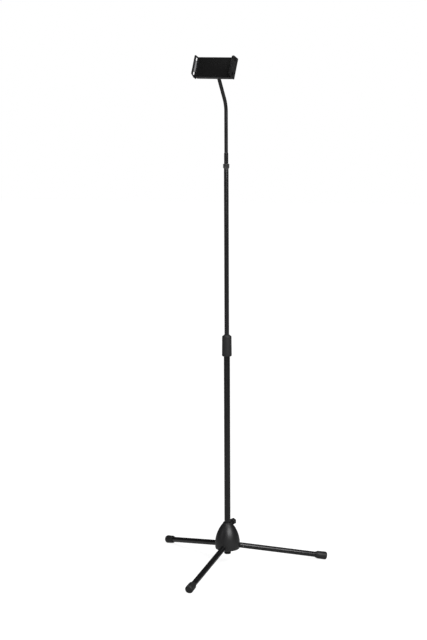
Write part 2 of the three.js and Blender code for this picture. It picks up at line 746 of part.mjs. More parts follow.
// Cover with a sunk field for the mat and four posts that take the screws.
function holderFront() {
  const plate = box(-BODY_HALF, BODY_HALF, FRONT_FACE, COVER_BACK, BODY_BOTTOM, BODY_TOP);
  const half = MAT_HALF + GAP;
  const field = box(-half, half, FRONT_FACE - 1, FRONT_FACE + 1, MAT_LOW - GAP, MAT_HIGH + GAP);
  const posts = screwHoles(3.2, BODY_FLOOR - GAP, COVER_BACK - 1);
  const threads = screwHoles(1.6, BACK_FACE, COVER_BACK + 2);
  return piece("holder_front", cut(join(cut(plate, field), ...posts), ...threads), "gloss_plastic");
}

function faceMat() {
  const mat = box(-MAT_HALF, MAT_HALF, FRONT_FACE, FRONT_FACE + 1 - GAP, MAT_LOW, MAT_HIGH);
  return piece("face_mat", mat, "rubber");
}

function coverScrews() {
  return SCREW_SPOTS.map(([x, z], i) => {
    const screw = turned([[0, -12], [1.3, -12], [1.3, -1.3], [2.8, -1.3], [2.8, -0.2], [0, -0.2]], COARSE);
    screw.rotateX(-Math.PI / 2).translate(x, BACK_FACE, HOLDER_MIDDLE + z);
    return piece(`cover_screw_${i + 1}`, screw, "bare_steel");
  });
}

// A jaw's side wall seen from the side: its lower front corner slopes back.
function jawWallOutline() {
  const top = HOLDER_MIDDLE + JAW_HALF_HEIGHT;
  const bottom = HOLDER_MIDDLE - JAW_HALF_HEIGHT;
  return [
    [JAW_BACK, bottom],
    [JAW_BACK, top],
    [JAW_FRONT + 2, top],
    [JAW_FRONT, top - 2],
    [JAW_FRONT, bottom + 7],
    [JAW_FRONT + 19, bottom],
  ];
}

// Rack teeth along an arm's inner edge, tips towards the pinion. One tooth stands at x = 0.
function rackOutline(side) {
  const pitch = Math.PI * MODULE_SIZE;
  const slope = Math.tan(rad(PRESSURE_ANGLE));
  const tip = 0.8 * MODULE_SIZE;
  const root = 1.2 * MODULE_SIZE;
  const halfAtPitch = pitch / 4 - BACKLASH / 2;
  const points = [];
  for (let i = 0; i < RACK_TEETH; i += 1) {
    const centre = i * pitch;
    points.push([centre - halfAtPitch - root * slope, PITCH_RADIUS + root]);
    points.push([centre - halfAtPitch + tip * slope, PITCH_RADIUS - tip]);
    points.push([centre + halfAtPitch - tip * slope, PITCH_RADIUS - tip]);
    points.push([centre + halfAtPitch + root * slope, PITCH_RADIUS + root]);
  }
  const outer = [
    [ARM_LENGTH, PITCH_RADIUS + root],
    [ARM_LENGTH, ARM_OUTER],
    [-JAW_HALF_WIDTH + 1, ARM_OUTER],
    [-JAW_HALF_WIDTH + 1, PITCH_RADIUS + root],
  ];
  return [...points, ...outer].map(([x, z]) => [-side * x, HOLDER_MIDDLE - side * z]);
}

// side is -1 for the left jaw and 1 for the right. The left jaw's arm runs above the pinion,
// and the right jaw's below it.
function jaw(side) {
  const outer = side * JAW_HALF_WIDTH;
  const inner = side * (JAW_HALF_WIDTH - JAW_WALL);
  const wall = extrudedX(jawWallOutline(), ...span(outer, inner));
  const top = HOLDER_MIDDLE + JAW_HALF_HEIGHT - 2;
  const bottom = HOLDER_MIDDLE - JAW_HALF_HEIGHT + 9;
  const lipSpan = span(outer, side * (JAW_HALF_WIDTH - LIP_WIDTH));
  const lip = box(...lipSpan, JAW_FRONT, JAW_FRONT + LIP_THICKNESS, bottom, top);
  const arm = extrudedY(rackOutline(side), ARM_FRONT, ARM_BACK);
  const windows = WINDOW_SPOTS.map((height) => {
    const low = HOLDER_MIDDLE + height - WINDOW_SIZE / 2;
    const width = span(outer + side, inner - side * 0.5);
    return box(...width, WINDOW_FRONT, WINDOW_FRONT + WINDOW_SIZE, low, low + WINDOW_SIZE);
  });
  const socket = rodX(ROD_RADIUS + GAP / 2, ...span(inner - side, outer - side * 1.2));
  return cut(join(wall, lip, arm), ...windows, onRodLine(socket, side));
}

function guideRod(side) {
  return onRodLine(rodX(ROD_RADIUS, ...span(side * (JAW_HALF_WIDTH - 1.5), side * 8)), side);
}

function jawPad(side) {
  const base = JAW_HALF_WIDTH - JAW_WALL;
  const width = span(side * (base - GAP), side * (base - 2.5));
  const front = JAW_FRONT + LIP_THICKNESS + GAP;
  return box(...width, front, FRONT_FACE - 1, HOLDER_MIDDLE - PAD_HALF, HOLDER_MIDDLE + PAD_HALF);
}

// One flank of an involute tooth: points from the root circle to the tip circle.
function involuteFlank(base, rootRadius, tipRadius, halfAngle) {
  const steps = 4;
  const involute = (radius) => {
    const roll = Math.sqrt((radius / base) ** 2 - 1);
    return roll - Math.atan(roll);
  };
  const start = involute(PITCH_RADIUS) + halfAngle;
  const flank = [[rootRadius, start]];
  for (let i = 0; i <= steps; i += 1) {
    const radius = base + ((tipRadius - base) * i) / steps;
    flank.push([radius, start - involute(radius)]);
  }
  return flank;
}

function pinion() {
  const base = PITCH_RADIUS * Math.cos(rad(PRESSURE_ANGLE));
  const halfAngle = Math.PI / (2 * TEETH) - BACKLASH / 2 / PITCH_RADIUS;
  const flank = involuteFlank(base, PITCH_RADIUS - 1.3, PITCH_RADIUS + 0.85, halfAngle);
  const tooth = [...flank.map(([r, a]) => [r, -a]), ...flank.reverse()];
  const outline = [];
  for (let i = 0; i < TEETH; i += 1) {
    const centre = (2 * Math.PI * (i + 0.5)) / TEETH + Math.PI / 2;
    tooth.forEach(([r, a]) => outline.push([r * Math.cos(centre + a), r * Math.sin(centre + a)]));
  }
  const wheel = extrudedY(outline, ARM_FRONT, ARM_BACK);
  const hub = rodY(3.1, ARM_BACK - 0.5, BODY_FLOOR - 0.6);
  const gear = cut(join(wheel, hub), rodY(1.75, -40, 0));
  return piece("pinion", gear.translate(0, 0, HOLDER_MIDDLE), "black_plastic");
}

function pinionAxle() {
  const head = rodY(3, ARM_FRONT - 2, ARM_FRONT - GAP);
  const shank = rodY(1.5, ARM_FRONT - 1, BACK_FACE - 0.4);
  return piece("pinion_axle", join(head, shank).translate(0, 0, HOLDER_MIDDLE), "bare_steel");
}

// Flat spiral spring round the pinion's hub; it draws the jaws together.
function returnSpring() {
  const turns = 2.6;
  const steps = 44;
  const band = 0.25;
  const line = (offset) => {
    return Array.from({ length: steps + 1 }, (_, i) => {
      const angle = (2 * Math.PI * turns * i) / steps;
      const radius = 3.9 + (3.4 * i) / steps + offset;
      return [radius * Math.cos(angle), radius * Math.sin(angle)];
    });
  };
  const outline = [...line(band), ...line(-band).reverse()];
  const spring = extrudedY(outline, ARM_BACK + 0.6, ARM_BACK + 3);
  return piece("return_spring", spring.translate(0, 0, HOLDER_MIDDLE), "bare_steel");
}

// The pieces that turn together on the swivel screw.
function holderBody() {
  const group = new THREE.Group();
  group.add(holderBack(), holderFront(), faceMat(), ...coverScrews());
  group.add(pinion(), pinionAxle(), returnSpring());
  for (const [name, side] of [["left", -1], ["right", 1]]) {
    group.add(piece(`${name}_jaw`, jaw(side), "black_plastic"));
    group.add(piece(`${name}_guide_rod`, guideRod(side), "bare_steel"));
    group.add(piece(`${name}_jaw_pad`, jawPad(side), "grey_rubber"));
  }
  group.rotation.y = rad(HOLDER_ROLL);
  return group;
}

function holder() {
  const group = new THREE.Group();
  group.add(holderBody(), swivelScrew(), swivelNut(), tiltBracket(), tiltBolt(), tiltKnob());
  group.position.copy(neckPoint(NECK_REACH));
  group.rotation.x = -rad(HOLDER_TILT);
  return group;
}

function neck() {
  const group = new THREE.Group();
  const knuckle = neckKnuckle();
  knuckle.position.copy(neckPoint(NECK_REACH));
  knuckle.rotation.x = rad(NECK_BEND);
  group.add(neckCollar(), neckTube(), knuckle, holder());
  group.rotation.z = rad(NECK_TURN);
  return group;
}

const stand = new THREE.Group();
stand.add(hubHousing(), poleBush(), clampPad(), lockScrew(), lockKnob());
for (const [side, azimuth] of Object.entries(LEG_AZIMUTHS)) {
  stand.add(legPin(side, azimuth), leg(side, azimuth));
}
stand.add(lowerTube(), tubeEndCap(), clutchBody(), clutchCollet(), clutchNut(), clutchGrip());
stand.add(upperTube(), tubeGuide(), threadStud(), lockNut(), neck());
stand.position.y = POLE_Y;

export default new THREE.Group().add(stand);
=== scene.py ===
import math

import bmesh
import bpy
from mathutils import Matrix, Vector


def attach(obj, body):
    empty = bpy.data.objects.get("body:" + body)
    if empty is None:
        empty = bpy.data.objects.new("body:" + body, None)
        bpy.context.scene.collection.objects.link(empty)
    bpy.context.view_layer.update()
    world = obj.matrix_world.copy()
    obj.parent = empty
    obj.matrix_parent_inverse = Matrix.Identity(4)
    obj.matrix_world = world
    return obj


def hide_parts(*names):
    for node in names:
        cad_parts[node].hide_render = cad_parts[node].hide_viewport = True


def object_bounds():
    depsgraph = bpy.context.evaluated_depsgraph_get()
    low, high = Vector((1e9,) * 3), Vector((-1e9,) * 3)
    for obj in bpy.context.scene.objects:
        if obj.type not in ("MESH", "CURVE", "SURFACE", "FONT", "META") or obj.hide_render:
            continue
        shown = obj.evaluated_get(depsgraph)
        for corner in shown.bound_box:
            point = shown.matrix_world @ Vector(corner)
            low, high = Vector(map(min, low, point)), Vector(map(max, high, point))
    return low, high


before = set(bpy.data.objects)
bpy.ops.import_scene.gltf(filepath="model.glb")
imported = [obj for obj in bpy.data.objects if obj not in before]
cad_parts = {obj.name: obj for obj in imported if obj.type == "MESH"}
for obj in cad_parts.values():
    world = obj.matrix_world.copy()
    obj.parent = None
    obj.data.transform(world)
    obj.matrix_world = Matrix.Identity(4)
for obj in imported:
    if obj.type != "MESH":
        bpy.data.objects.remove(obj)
cad_box = [list(corner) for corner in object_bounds()]
scene = bpy.context.scene

# ---------------------------------------------------------------------------
# Camera and studio: a standing person's view from a little to the
# right of the front leg, a pale seamless floor, and large soft lights.
# ---------------------------------------------------------------------------
POLE_Y = 0.0876

camera_azimuth = math.radians(21.2)
camera_pitch = math.radians(7.07)
camera_roll = math.radians(-0.2)
camera_distance = 5.0
camera_height = 1.5135
focal_rows = 1415.5
frame_rows = 640
shift_rows = 13.25


def camera_axes():
    """Right, up and backward directions of the camera."""
    level = Vector((-math.sin(camera_azimuth), math.cos(camera_azimuth), 0))
    side = Vector((math.cos(camera_azimuth), math.sin(camera_azimuth), 0))
    forward = level * math.cos(camera_pitch) - Vector((0, 0, math.sin(camera_pitch)))
    above = level * math.sin(camera_pitch) + Vector((0, 0, math.cos(camera_pitch)))
    right = side * math.cos(camera_roll) + above * math.sin(camera_roll)
    up = above * math.cos(camera_roll) - side * math.sin(camera_roll)
    spot = Vector((0, POLE_Y, camera_height)) - level * camera_distance
    return right, up, -forward, spot


camera_data = bpy.data.cameras.new("camera")
camera_data.sensor_width = 36
camera_data.lens = 36 * focal_rows / frame_rows
camera_data.shift_x = -shift_rows / frame_rows
camera_data.clip_end = 100
camera = bpy.data.objects.new("camera", camera_data)
scene.collection.objects.link(camera)
right, up, back, spot = camera_axes()
camera.matrix_world = Matrix.Translation(spot) @ Matrix((right, up, back)).transposed().to_4x4()
scene.camera = camera
scene.view_settings.view_transform = "Standard"
scene.view_settings.look = "None"


def soft_light(name, place, aim, size, power):
    """A rectangular softbox at place that faces aim."""
    data = bpy.data.lights.new(name, "AREA")
    data.shape = "RECTANGLE"
    data.size, data.size_y = size
    data.energy = power
    light = bpy.data.objects.new(name, data)
    light.location = place
    light.rotation_euler = (Vector(aim) - Vector(place)).to_track_quat("-Z", "Y").to_euler()
    scene.collection.objects.link(light)


soft_light("left_strip", (-2.5, -2.3, 1.75), (0, 0.1, 1.5), (0.4, 1.5), 7)
soft_light("key_softbox", (2.75, -2.35, 3.1), (0, 0.1, 0.25), (3.0, 1.6), 175)
soft_light("top_softbox", (0.3, -0.4, 3.9), (0, 0.1, 0.2), (2.6, 1.0), 40)
soft_light("front_fill", (0.2, -4.6, 0.9), (0, 0.1, 0.9), (0.5, 1.6), 4)

world = bpy.data.worlds.new("studio")
scene.world = world
world.use_nodes = True
sky = world.node_tree.nodes
sky_links = world.node_tree.links
seen = sky.new("ShaderNodeLightPath")
shade = sky.new("ShaderNodeMapRange")
shade.inputs["To Min"].default_value = 0.05
shade.inputs["To Max"].default_value = 1.0
sky_links.new(seen.outputs["Is Camera Ray"], shade.inputs["Value"])
sky_links.new(shade.outputs["Result"], sky["Background"].inputs["Strength"])
sky["Background"].inputs["Color"].default_value = (1, 1, 1, 1)


def studio_floor():
    """A wide level floor of matt white paper."""
    mesh = bpy.data.meshes.new("floor")
    reach = 30
    corners = [(-reach, -reach, 0), (reach, -reach, 0), (reach, reach, 0), (-reach, reach, 0)]
    mesh.from_pydata(corners, [], [(0, 1, 2, 3)])
    floor = bpy.data.objects.new("floor", mesh)
    scene.collection.objects.link(floor)
    paper = bpy.data.materials.new("white_paper")
    paper.use_nodes = True
    nodes, links = paper.node_tree.nodes, paper.node_tree.links
    shader = nodes["Principled BSDF"]
    shader.inputs["Base Color"].default_value = (0.3, 0.3, 0.3, 1)
    shader.inputs["Roughness"].default_value = 0.9
    shader.inputs["Specular IOR Level"].default_value = 0.1
    shader.inputs["Emission Color"].default_value = (1, 1, 1, 1)
    # The paper glows a little, as it would in a room with white walls, and more far away.
    where = nodes.new("ShaderNodeTexCoord")
    far = nodes.new("ShaderNodeVectorMath")
    sight = nodes.new("ShaderNodeLightPath")
    far.operation = "LENGTH"
    links.new(where.outputs["Object"], far.inputs[0])
    fade, glow = nodes.new("ShaderNodeMapRange"), nodes.new("ShaderNodeMapRange")
    fade.inputs["From Min"].default_value, fade.inputs["From Max"].default_value = 0.6, 2.5
    fade.inputs["To Min"].default_value, fade.inputs["To Max"].default_value = 0.9, 1.0
    glow.inputs["To Min"].default_value = 0.24
    links.new(far.outputs["Value"], fade.inputs["Value"])
    links.new(fade.outputs["Result"], glow.inputs["To Max"])
    links.new(sight.outputs["Is Camera Ray"], glow.inputs["Value"])
    links.new(glow.outputs["Result"], shader.inputs["Emission Strength"])
    mesh.materials.append(paper)


studio_floor()

# ---------------------------------------------------------------------------
# Tripod hub: a thick bell of zinc alloy, die cast with three leg channels
# and a boss for the clamp screw, then painted satin black. The pole runs
# through its middle in a plastic bush.
# ---------------------------------------------------------------------------
POLE = Matrix.Translation((0, POLE_Y, 0)) @ Matrix.Scale(0.001, 4)
GAP = 0.3
ALONG_X = Matrix.Rotation(math.radians(90), 4, "Y")
HUB_RADIUS, HUB_RIM, HUB_WAIST, HUB_TOP = 45, 57.5, 77, 156
DOME_ARC = 113
HUB_WALL = 5
HUB_BORE = 13.3
SLEEVE_RADIUS = 17.5
LEG_AZIMUTHS = {"front": 270, "right": 30, "left": 150}
LEG_DIP = math.radians(9.9)
LEG_RADIUS = 9.75
SLOT_RADIUS = LEG_RADIUS + 0.5
PIN_REACH = 30
PIN_HEIGHT = 76.4 - PIN_REACH * math.tan(LEG_DIP)


def mesh_object(name, shape):
    """A new object from a finished bmesh, with its normals facing out."""
    bmesh.ops.remove_doubles(shape, verts=shape.verts, dist=1e-7)
    bmesh.ops.recalc_face_normals(shape, faces=shape.faces)
    mesh = bpy.data.meshes.new(name)
    shape.to_mesh(mesh)
    shape.free()
    thing = bpy.data.objects.new(name, mesh)
    scene.collection.objects.link(thing)
    return thing


def smooth(thing, limit=38):
    """Smooth shading that stays sharp where the surface turns more than limit degrees."""
    shape = bmesh.new()
    shape.from_mesh(thing.data)
    turn = math.radians(limit)
    for face in shape.faces:
        face.smooth = True
    for edge in shape.edges:
        edge.smooth = len(edge.link_faces) == 2 and edge.calc_face_angle(0) < turn
    shape.to_mesh(thing.data)
    shape.free()
    return thing


def rounded(outline, radius, steps=3, closed=False):
    """The outline with each corner replaced by a small arc."""
    points = [Vector(p) for p in outline]
    count = len(points)
    ends = set() if closed else {0, count - 1}
    result = []
    for i, here in enumerate(points):
        before, after = points[i - 1] - here, points[(i + 1) % count] - here
        if i in ends or before.length < 1e-6 or after.length < 1e-6:
            result.append(here)
            continue
        angle = before.angle(after)
        if angle > math.radians(165):
            result.append(here)
            continue
        reach = min(radius / math.tan(angle / 2), before.length * 0.45, after.length * 0.45)
        a, b = here + before.normalized() * reach, here + after.normalized() * reach
        for k in range(steps + 1):
            t = k / steps
            result.append(a * (1 - t) ** 2 + here * 2 * t * (1 - t) + b * t**2)
    return result


def lathe(name, outline, place=POLE, sides=64, radius=0.0, closed=False):
    """A turned solid on the local Z axis from an outline of (radius, height) pairs."""
    if radius:
        outline = rounded(outline, radius, closed=closed)
    shape = bmesh.new()
    rings = []
    for r, z in outline:
        if r < 1e-6:
            rings.append([shape.verts.new(place @ Vector((0, 0, z)))] * sides)
            continue
        turns = [2 * math.pi * k / sides for k in range(sides)]
        spots = [place @ Vector((r * math.cos(a), r * math.sin(a), z)) for a in turns]
        rings.append([shape.verts.new(spot) for spot in spots])
    pairs = list(zip(rings, rings[1:]))
    if closed:
        pairs.append((rings[-1], rings[0]))
    for low, high in pairs:
        for k in range(sides):
            n = (k + 1) % sides
            corners = list(dict.fromkeys([low[k], low[n], high[n], high[k]]))
            if len(corners) > 2:
                shape.faces.new(corners)
    return mesh_object(name, shape)


def tube_outline(inner, outer, low, high):
    return [(inner, low), (outer, low), (outer, high), (inner, high)]


def rod(name, radius, low, high, place, sides=32, edge=0.0):
    """A plain round bar, or the cutter of a round hole, from low to high along local Z."""
    return lathe(name, tube_outline(0, radius, low, high), place, sides, edge)


def prism(name, outline, low, high, place):
    """A flat outline in local X and Y, pushed from low to high along local Z."""
    shape = bmesh.new()
    bottom = [shape.verts.new(place @ Vector((x, y, low))) for x, y in outline]
    top = [shape.verts.new(place @ Vector((x, y, high))) for x, y in outline]
    shape.faces.new(bottom[::-1])
    shape.faces.new(top)
    for k in range(len(outline)):
        n = (k + 1) % len(outline)
        shape.faces.new([bottom[k], bottom[n], top[n], top[k]])
    return mesh_object(name, shape)


def block(name, x, y, z, place=POLE):
    """A rectangular block from its three (low, high) pairs."""
    outline = [(x[0], y[0]), (x[1], y[0]), (x[1], y[1]), (x[0], y[1])]
    return prism(name, outline, z[0], z[1], place)


def settle(thing):
    """Turns an object with its modifiers into a plain mesh."""
    graph = bpy.context.evaluated_depsgraph_get()
    mesh = bpy.data.meshes.new_from_object(thing.evaluated_get(graph))
    thing.modifiers.clear()
    thing.data = mesh
    mesh.name = thing.name
    return thing


def shaped(thing, cutters=(), joined=(), common=()):
    """Cuts, joins or intersects an object with others, which are then thrown away."""
    for operation, tools in (("UNION", joined), ("INTERSECT", common), ("DIFFERENCE", cutters)):
        for tool in tools:
            step = thing.modifiers.new(operation, "BOOLEAN")
            step.operation = operation
            step.object = tool
            step.solver = "EXACT"
    settle(thing)
    for tool in [*joined, *common, *cutters]:
        bpy.data.objects.remove(tool)
    return thing


def softened(thing, width, limit=35, segments=2):
    """Rounds the sharp edges by width millimetres."""
    edge = thing.modifiers.new("edge", "BEVEL")
    edge.width = width / 1000
    edge.segments = segments
    edge.limit_method = "ANGLE"
    edge.angle_limit = math.radians(limit)
    edge.harden_normals = False
    return smooth(settle(thing), limit)


def dome_outline(inset, top, steps=26):
    """The side of the bell from its waist to top, moved inwards by inset."""
    radius = DOME_ARC - inset
    centre = HUB_RADIUS - DOME_ARC
    end = math.asin((top - HUB_WAIST) / radius)
    side = [end * k / steps for k in range(steps + 1)]
    return [(centre + radius * math.cos(a), HUB_WAIST + radius * math.sin(a)) for a in side]


def on_leg(azimuth):
    """Local X runs out along a spread leg, and the origin is its hinge pin."""
    turn = Matrix.Rotation(math.radians(azimuth), 4, "Z")
    out = Matrix.Translation((PIN_REACH, 0, PIN_HEIGHT))
    return POLE @ turn @ out @ Matrix.Rotation(LEG_DIP, 4, "Y")


# Noise that breaks up a surface. "Fine" and "Coarse" are sizes in bumps per metre.
def grain_group():
    group = bpy.data.node_groups.new("surface_grain", "ShaderNodeTree")
    add = group.interface.new_socket
    for name, value in (("Fine", 900.0), ("Coarse", 22.0), ("Mix", 0.3)):
        add(name, in_out="INPUT", socket_type="NodeSocketFloat").default_value = value
    add("Height", in_out="OUTPUT", socket_type="NodeSocketFloat")
    add("Cloud", in_out="OUTPUT", socket_type="NodeSocketFloat")
    nodes, links = group.nodes, group.links
    given, made = nodes.new("NodeGroupInput"), nodes.new("NodeGroupOutput")
    where = nodes.new("ShaderNodeTexCoord")
    textures = []
    for socket, detail in (("Fine", 3.0), ("Coarse", 4.0)):
        noise = nodes.new("ShaderNodeTexNoise")
        noise.inputs["Detail"].default_value = detail
        links.new(where.outputs["Object"], noise.inputs["Vector"])
        links.new(given.outputs[socket], noise.inputs["Scale"])
        textures.append(noise)
    mix = nodes.new("ShaderNodeMix")
    links.new(given.outputs["Mix"], mix.inputs["Factor"])
    links.new(textures[0].outputs["Fac"], mix.inputs["A"])
    links.new(textures[1].outputs["Fac"], mix.inputs["B"])
    links.new(mix.outputs["Result"], made.inputs["Height"])
    links.new(textures[1].outputs["Fac"], made.inputs["Cloud"])
    return group


# A mask that is strong on outer edges and broken up by noise, where hands and bags rub the finish.
def wear_group():
    group = bpy.data.node_groups.new("edge_wear", "ShaderNodeTree")
    add = group.interface.new_socket
    for name, value in (("Threshold", 0.56), ("Spread", 0.08), ("Breakup", 160.0)):
        add(name, in_out="INPUT", socket_type="NodeSocketFloat").default_value = value
    add("Mask", in_out="OUTPUT", socket_type="NodeSocketFloat")
    nodes, links = group.nodes, group.links
    given, made = nodes.new("NodeGroupInput"), nodes.new("NodeGroupOutput")
    shape = nodes.new("ShaderNodeNewGeometry")
    upper = nodes.new("ShaderNodeMath")
    edge = nodes.new("ShaderNodeMapRange")
    links.new(given.outputs["Threshold"], upper.inputs[0])
    links.new(given.outputs["Spread"], upper.inputs[1])
    links.new(shape.outputs["Pointiness"], edge.inputs["Value"])
    links.new(given.outputs["Threshold"], edge.inputs["From Min"])
    links.new(upper.outputs[0], edge.inputs["From Max"])
    where = nodes.new("ShaderNodeTexCoord")
    noise = nodes.new("ShaderNodeTexNoise")
    links.new(where.outputs["Object"], noise.inputs["Vector"])
    links.new(given.outputs["Breakup"], noise.inputs["Scale"])
    patches = nodes.new("ShaderNodeMapRange")
    patches.inputs["From Min"].default_value = 0.45
    patches.inputs["From Max"].default_value = 0.65
    links.new(noise.outputs["Fac"], patches.inputs["Value"])
    both = nodes.new("ShaderNodeMath")
    both.operation = "MULTIPLY"
    links.new(edge.outputs["Result"], both.inputs[0])
    links.new(patches.outputs["Result"], both.inputs[1])
    links.new(both.outputs[0], made.inputs["Mask"])
    return group


grain = grain_group()
edge_wear = wear_group()


def finish(name, colour, worn, rough, bump, fine, metal=0.0, level=0.3, mix=0.3):
    """A painted, moulded or plated finish: clouded colour and gloss, relief and rubbed edges."""
    material = bpy.data.materials.new(name)
    material.use_nodes = True
    nodes, links = material.node_tree.nodes, material.node_tree.links
    shader = nodes["Principled BSDF"]
    shader.inputs["Metallic"].default_value = metal
    shader.inputs["Specular IOR Level"].default_value = level
    relief, rub = nodes.new("ShaderNodeGroup"), nodes.new("ShaderNodeGroup")
    relief.node_tree, rub.node_tree = grain, edge_wear
    relief.inputs["Fine"].default_value = fine
    relief.inputs["Mix"].default_value = mix
    cloud = nodes.new("ShaderNodeMix")
    cloud.data_type = "RGBA"
    cloud.inputs["A"].default_value = (*[c * 0.82 for c in colour], 1)
    cloud.inputs["B"].default_value = (*[min(1, c * 1.2) for c in colour], 1)
    links.new(relief.outputs["Cloud"], cloud.inputs["Factor"])
    share = nodes.new("ShaderNodeMath")
    share.operation = "MULTIPLY"
    share.inputs[1].default_value = 0.5
    links.new(rub.outputs["Mask"], share.inputs[0])
    paint = nodes.new("ShaderNodeMix")
    paint.data_type = "RGBA"
    links.new(share.outputs[0], paint.inputs["Factor"])
    links.new(cloud.outputs["Result"], paint.inputs["A"])
    paint.inputs["B"].default_value = (*worn, 1)
    links.new(paint.outputs["Result"], shader.inputs["Base Color"])
    gloss = nodes.new("ShaderNodeMapRange")
    gloss.inputs["From Min"].default_value = 0.3
    gloss.inputs["From Max"].default_value = 0.7
    gloss.inputs["To Min"].default_value = rough - 0.05
    gloss.inputs["To Max"].default_value = rough + 0.06
    links.new(relief.outputs["Cloud"], gloss.inputs["Value"])
    links.new(gloss.outputs["Result"], shader.inputs["Roughness"])
    dents = nodes.new("ShaderNodeBump")
    dents.inputs["Strength"].default_value = bump
    dents.inputs["Distance"].default_value = 0.0002
    links.new(relief.outputs["Height"], dents.inputs["Height"])
    links.new(dents.outputs["Normal"], shader.inputs["Normal"])
    return material


cast_paint = finish(
    "black_casting_paint", (0.0095, 0.0095, 0.01), (0.04, 0.04, 0.04),
    rough=0.43, bump=0.06, fine=1300, level=0.55,
)
bare_steel = finish(
    "zinc_plated_steel", (0.5, 0.51, 0.52), (0.62, 0.62, 0.62),
    rough=0.34, bump=0.15, fine=1500, metal=1.0, level=0.5,
)
moulded_black = finish(
    "moulded_black_plastic", (0.013, 0.013, 0.0135), (0.03, 0.03, 0.03),
    rough=0.48, bump=0.3, fine=1800, level=0.3,
)


def dress(thing, body, material, slot_name, *nodes):
    """Gives a finished piece its material and body, and lets it stand for CAD nodes."""
    thing.data.materials.clear()
    thing.data.materials.append(material)
    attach(thing, body)
    if nodes:
        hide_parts(*nodes)
    return thing


def keep(node, material):
    """A CAD node that keeps its shape and gets a better material."""
    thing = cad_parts[node]
    thing.data.materials.clear()
    thing.data.materials.append(material)


def refined(name, node, width, limit=35):
    """A merged copy of a CAD node with its sharp edges rounded."""
    shape = bmesh.new()
    shape.from_mesh(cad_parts[node].data)
    bmesh.ops.remove_doubles(shape, verts=shape.verts, dist=2e-6)
    flat = math.radians(1)
    bmesh.ops.dissolve_limit(shape, angle_limit=flat, verts=shape.verts, edges=shape.edges)
    mesh = bpy.data.meshes.new(name)
    shape.to_mesh(mesh)
    shape.free()
    thing = bpy.data.objects.new(name, mesh)
    scene.collection.objects.link(thing)
    return softened(thing, width, limit)


KNOB_AZIMUTH = math.radians(80)
KNOB_HEIGHT = 149.5
KNOB_TURN = Matrix.Rotation(KNOB_AZIMUTH, 4, "Z")
CLAMP = POLE @ Matrix.Translation((0, 0, KNOB_HEIGHT)) @ KNOB_TURN @ ALONG_X
CHANNEL_HALF = 16.3
LUG_ROOM_HALF, LUG_ROOM_TOP, LUG_ROOM_END = 6.8, 8.9, 15
SLOT_DEPTH = 30
OVERCUT = 0.01
BOSS_RADIUS, BOSS_END = 6.2, 28
SCREW_HOLE = 3.4
BELL_SIDES = 128


def screw_hole():
    return rod("screw_hole", SCREW_HOLE, 0, 30, CLAMP)


def leg_slot(azimuth):
    """The cutter that lets one leg swing down: its round bed, open below, and room for the lug."""
    leg = on_leg(azimuth)
    slot = lathe("slot", tube_outline(0, SLOT_RADIUS, -SLOT_RADIUS, HUB_RADIUS), leg @ ALONG_X, 48)
    along = (-SLOT_RADIUS + OVERCUT, HUB_RADIUS - OVERCUT)
    mouth = block("mouth", along, (-SLOT_RADIUS, SLOT_RADIUS), (-SLOT_DEPTH, 0), leg)
    lug_room = (-SLOT_RADIUS - OVERCUT, LUG_ROOM_END)
    roof = block("roof", lug_room, (-LUG_ROOM_HALF, LUG_ROOM_HALF), (-1, LUG_ROOM_TOP), leg)
    return shaped(slot, joined=[mouth, roof])


def hub_bell():
    rim = [
        (0, HUB_RIM),
        (HUB_RADIUS - 5, HUB_RIM),
        (HUB_RADIUS - 1.8, HUB_RIM + 2),
        (HUB_RADIUS - 0.4, HUB_RIM + 6),
    ]
    crown = [(HUB_BORE + 2.8, HUB_TOP - 1), (HUB_BORE + 1.6, HUB_TOP), (0, HUB_TOP)]
    outline = rim + dome_outline(0, HUB_TOP - 4) + crown
    bell = lathe("hub_bell", outline, sides=BELL_SIDES)
    hollow_foot = [(0, HUB_RIM - 1), (HUB_RADIUS - HUB_WALL, HUB_RIM - 1)]
    hollow = hollow_foot + dome_outline(HUB_WALL, HUB_TOP - 30) + [(0, HUB_TOP - 30)]
    core = lathe("core", outline, sides=BELL_SIDES)
    ribs = rod("sleeve", SLEEVE_RADIUS, HUB_RIM, HUB_TOP - 20, POLE, 64)
    channel_top = PIN_HEIGHT + SLOT_RADIUS + HUB_WALL
    slots, channels = [], []
    for azimuth in LEG_AZIMUTHS.values():
        turn = POLE @ Matrix.Rotation(math.radians(azimuth), 4, "Z")
        across = (-CHANNEL_HALF, CHANNEL_HALF)
        channels.append(block("channel", (0, HUB_RADIUS), across, (HUB_RIM, channel_top), turn))
        slots.append(leg_slot(azimuth))
    ribs = shaped(ribs, joined=channels)
    ribs = shaped(ribs, common=[core])
    shaped(bell, cutters=[lathe("hollow", hollow, sides=96)])
    boss = rod("boss", BOSS_RADIUS, HUB_BORE + 1, BOSS_END, CLAMP, 48, 0.4)
    shaped(bell, joined=[ribs, boss])
    bore = rod("bore", HUB_BORE, HUB_RIM - 1, HUB_TOP + 1, POLE, 96)
    shaped(bell, cutters=[*slots, bore, screw_hole()])
    return smooth(bell, 30)


dress(hub_bell(), "hub", cast_paint, "black_casting", "hub_housing")
for side in LEG_AZIMUTHS:
    keep(f"{side}_leg_pin", bare_steel)

LOWER_RADIUS = 11
LOWER_BOTTOM = 52
bush_inner = LOWER_RADIUS + 0.25
bush_outline = [
    (bush_inner, LOWER_BOTTOM + GAP),
    (HUB_BORE + 1.2, LOWER_BOTTOM + GAP),
    (HUB_BORE + 1.2, HUB_RIM - GAP),
    (HUB_BORE - GAP, HUB_RIM - GAP),
    (HUB_BORE - GAP, HUB_TOP - 0.5),
    (bush_inner, HUB_TOP - 0.5),
]
bush = lathe("pole_sleeve", bush_outline, sides=72, radius=0.3, closed=True)
shaped(bush, cutters=[screw_hole()])
dress(smooth(bush), "hub", moulded_black, "black_plastic", "pole_bush")

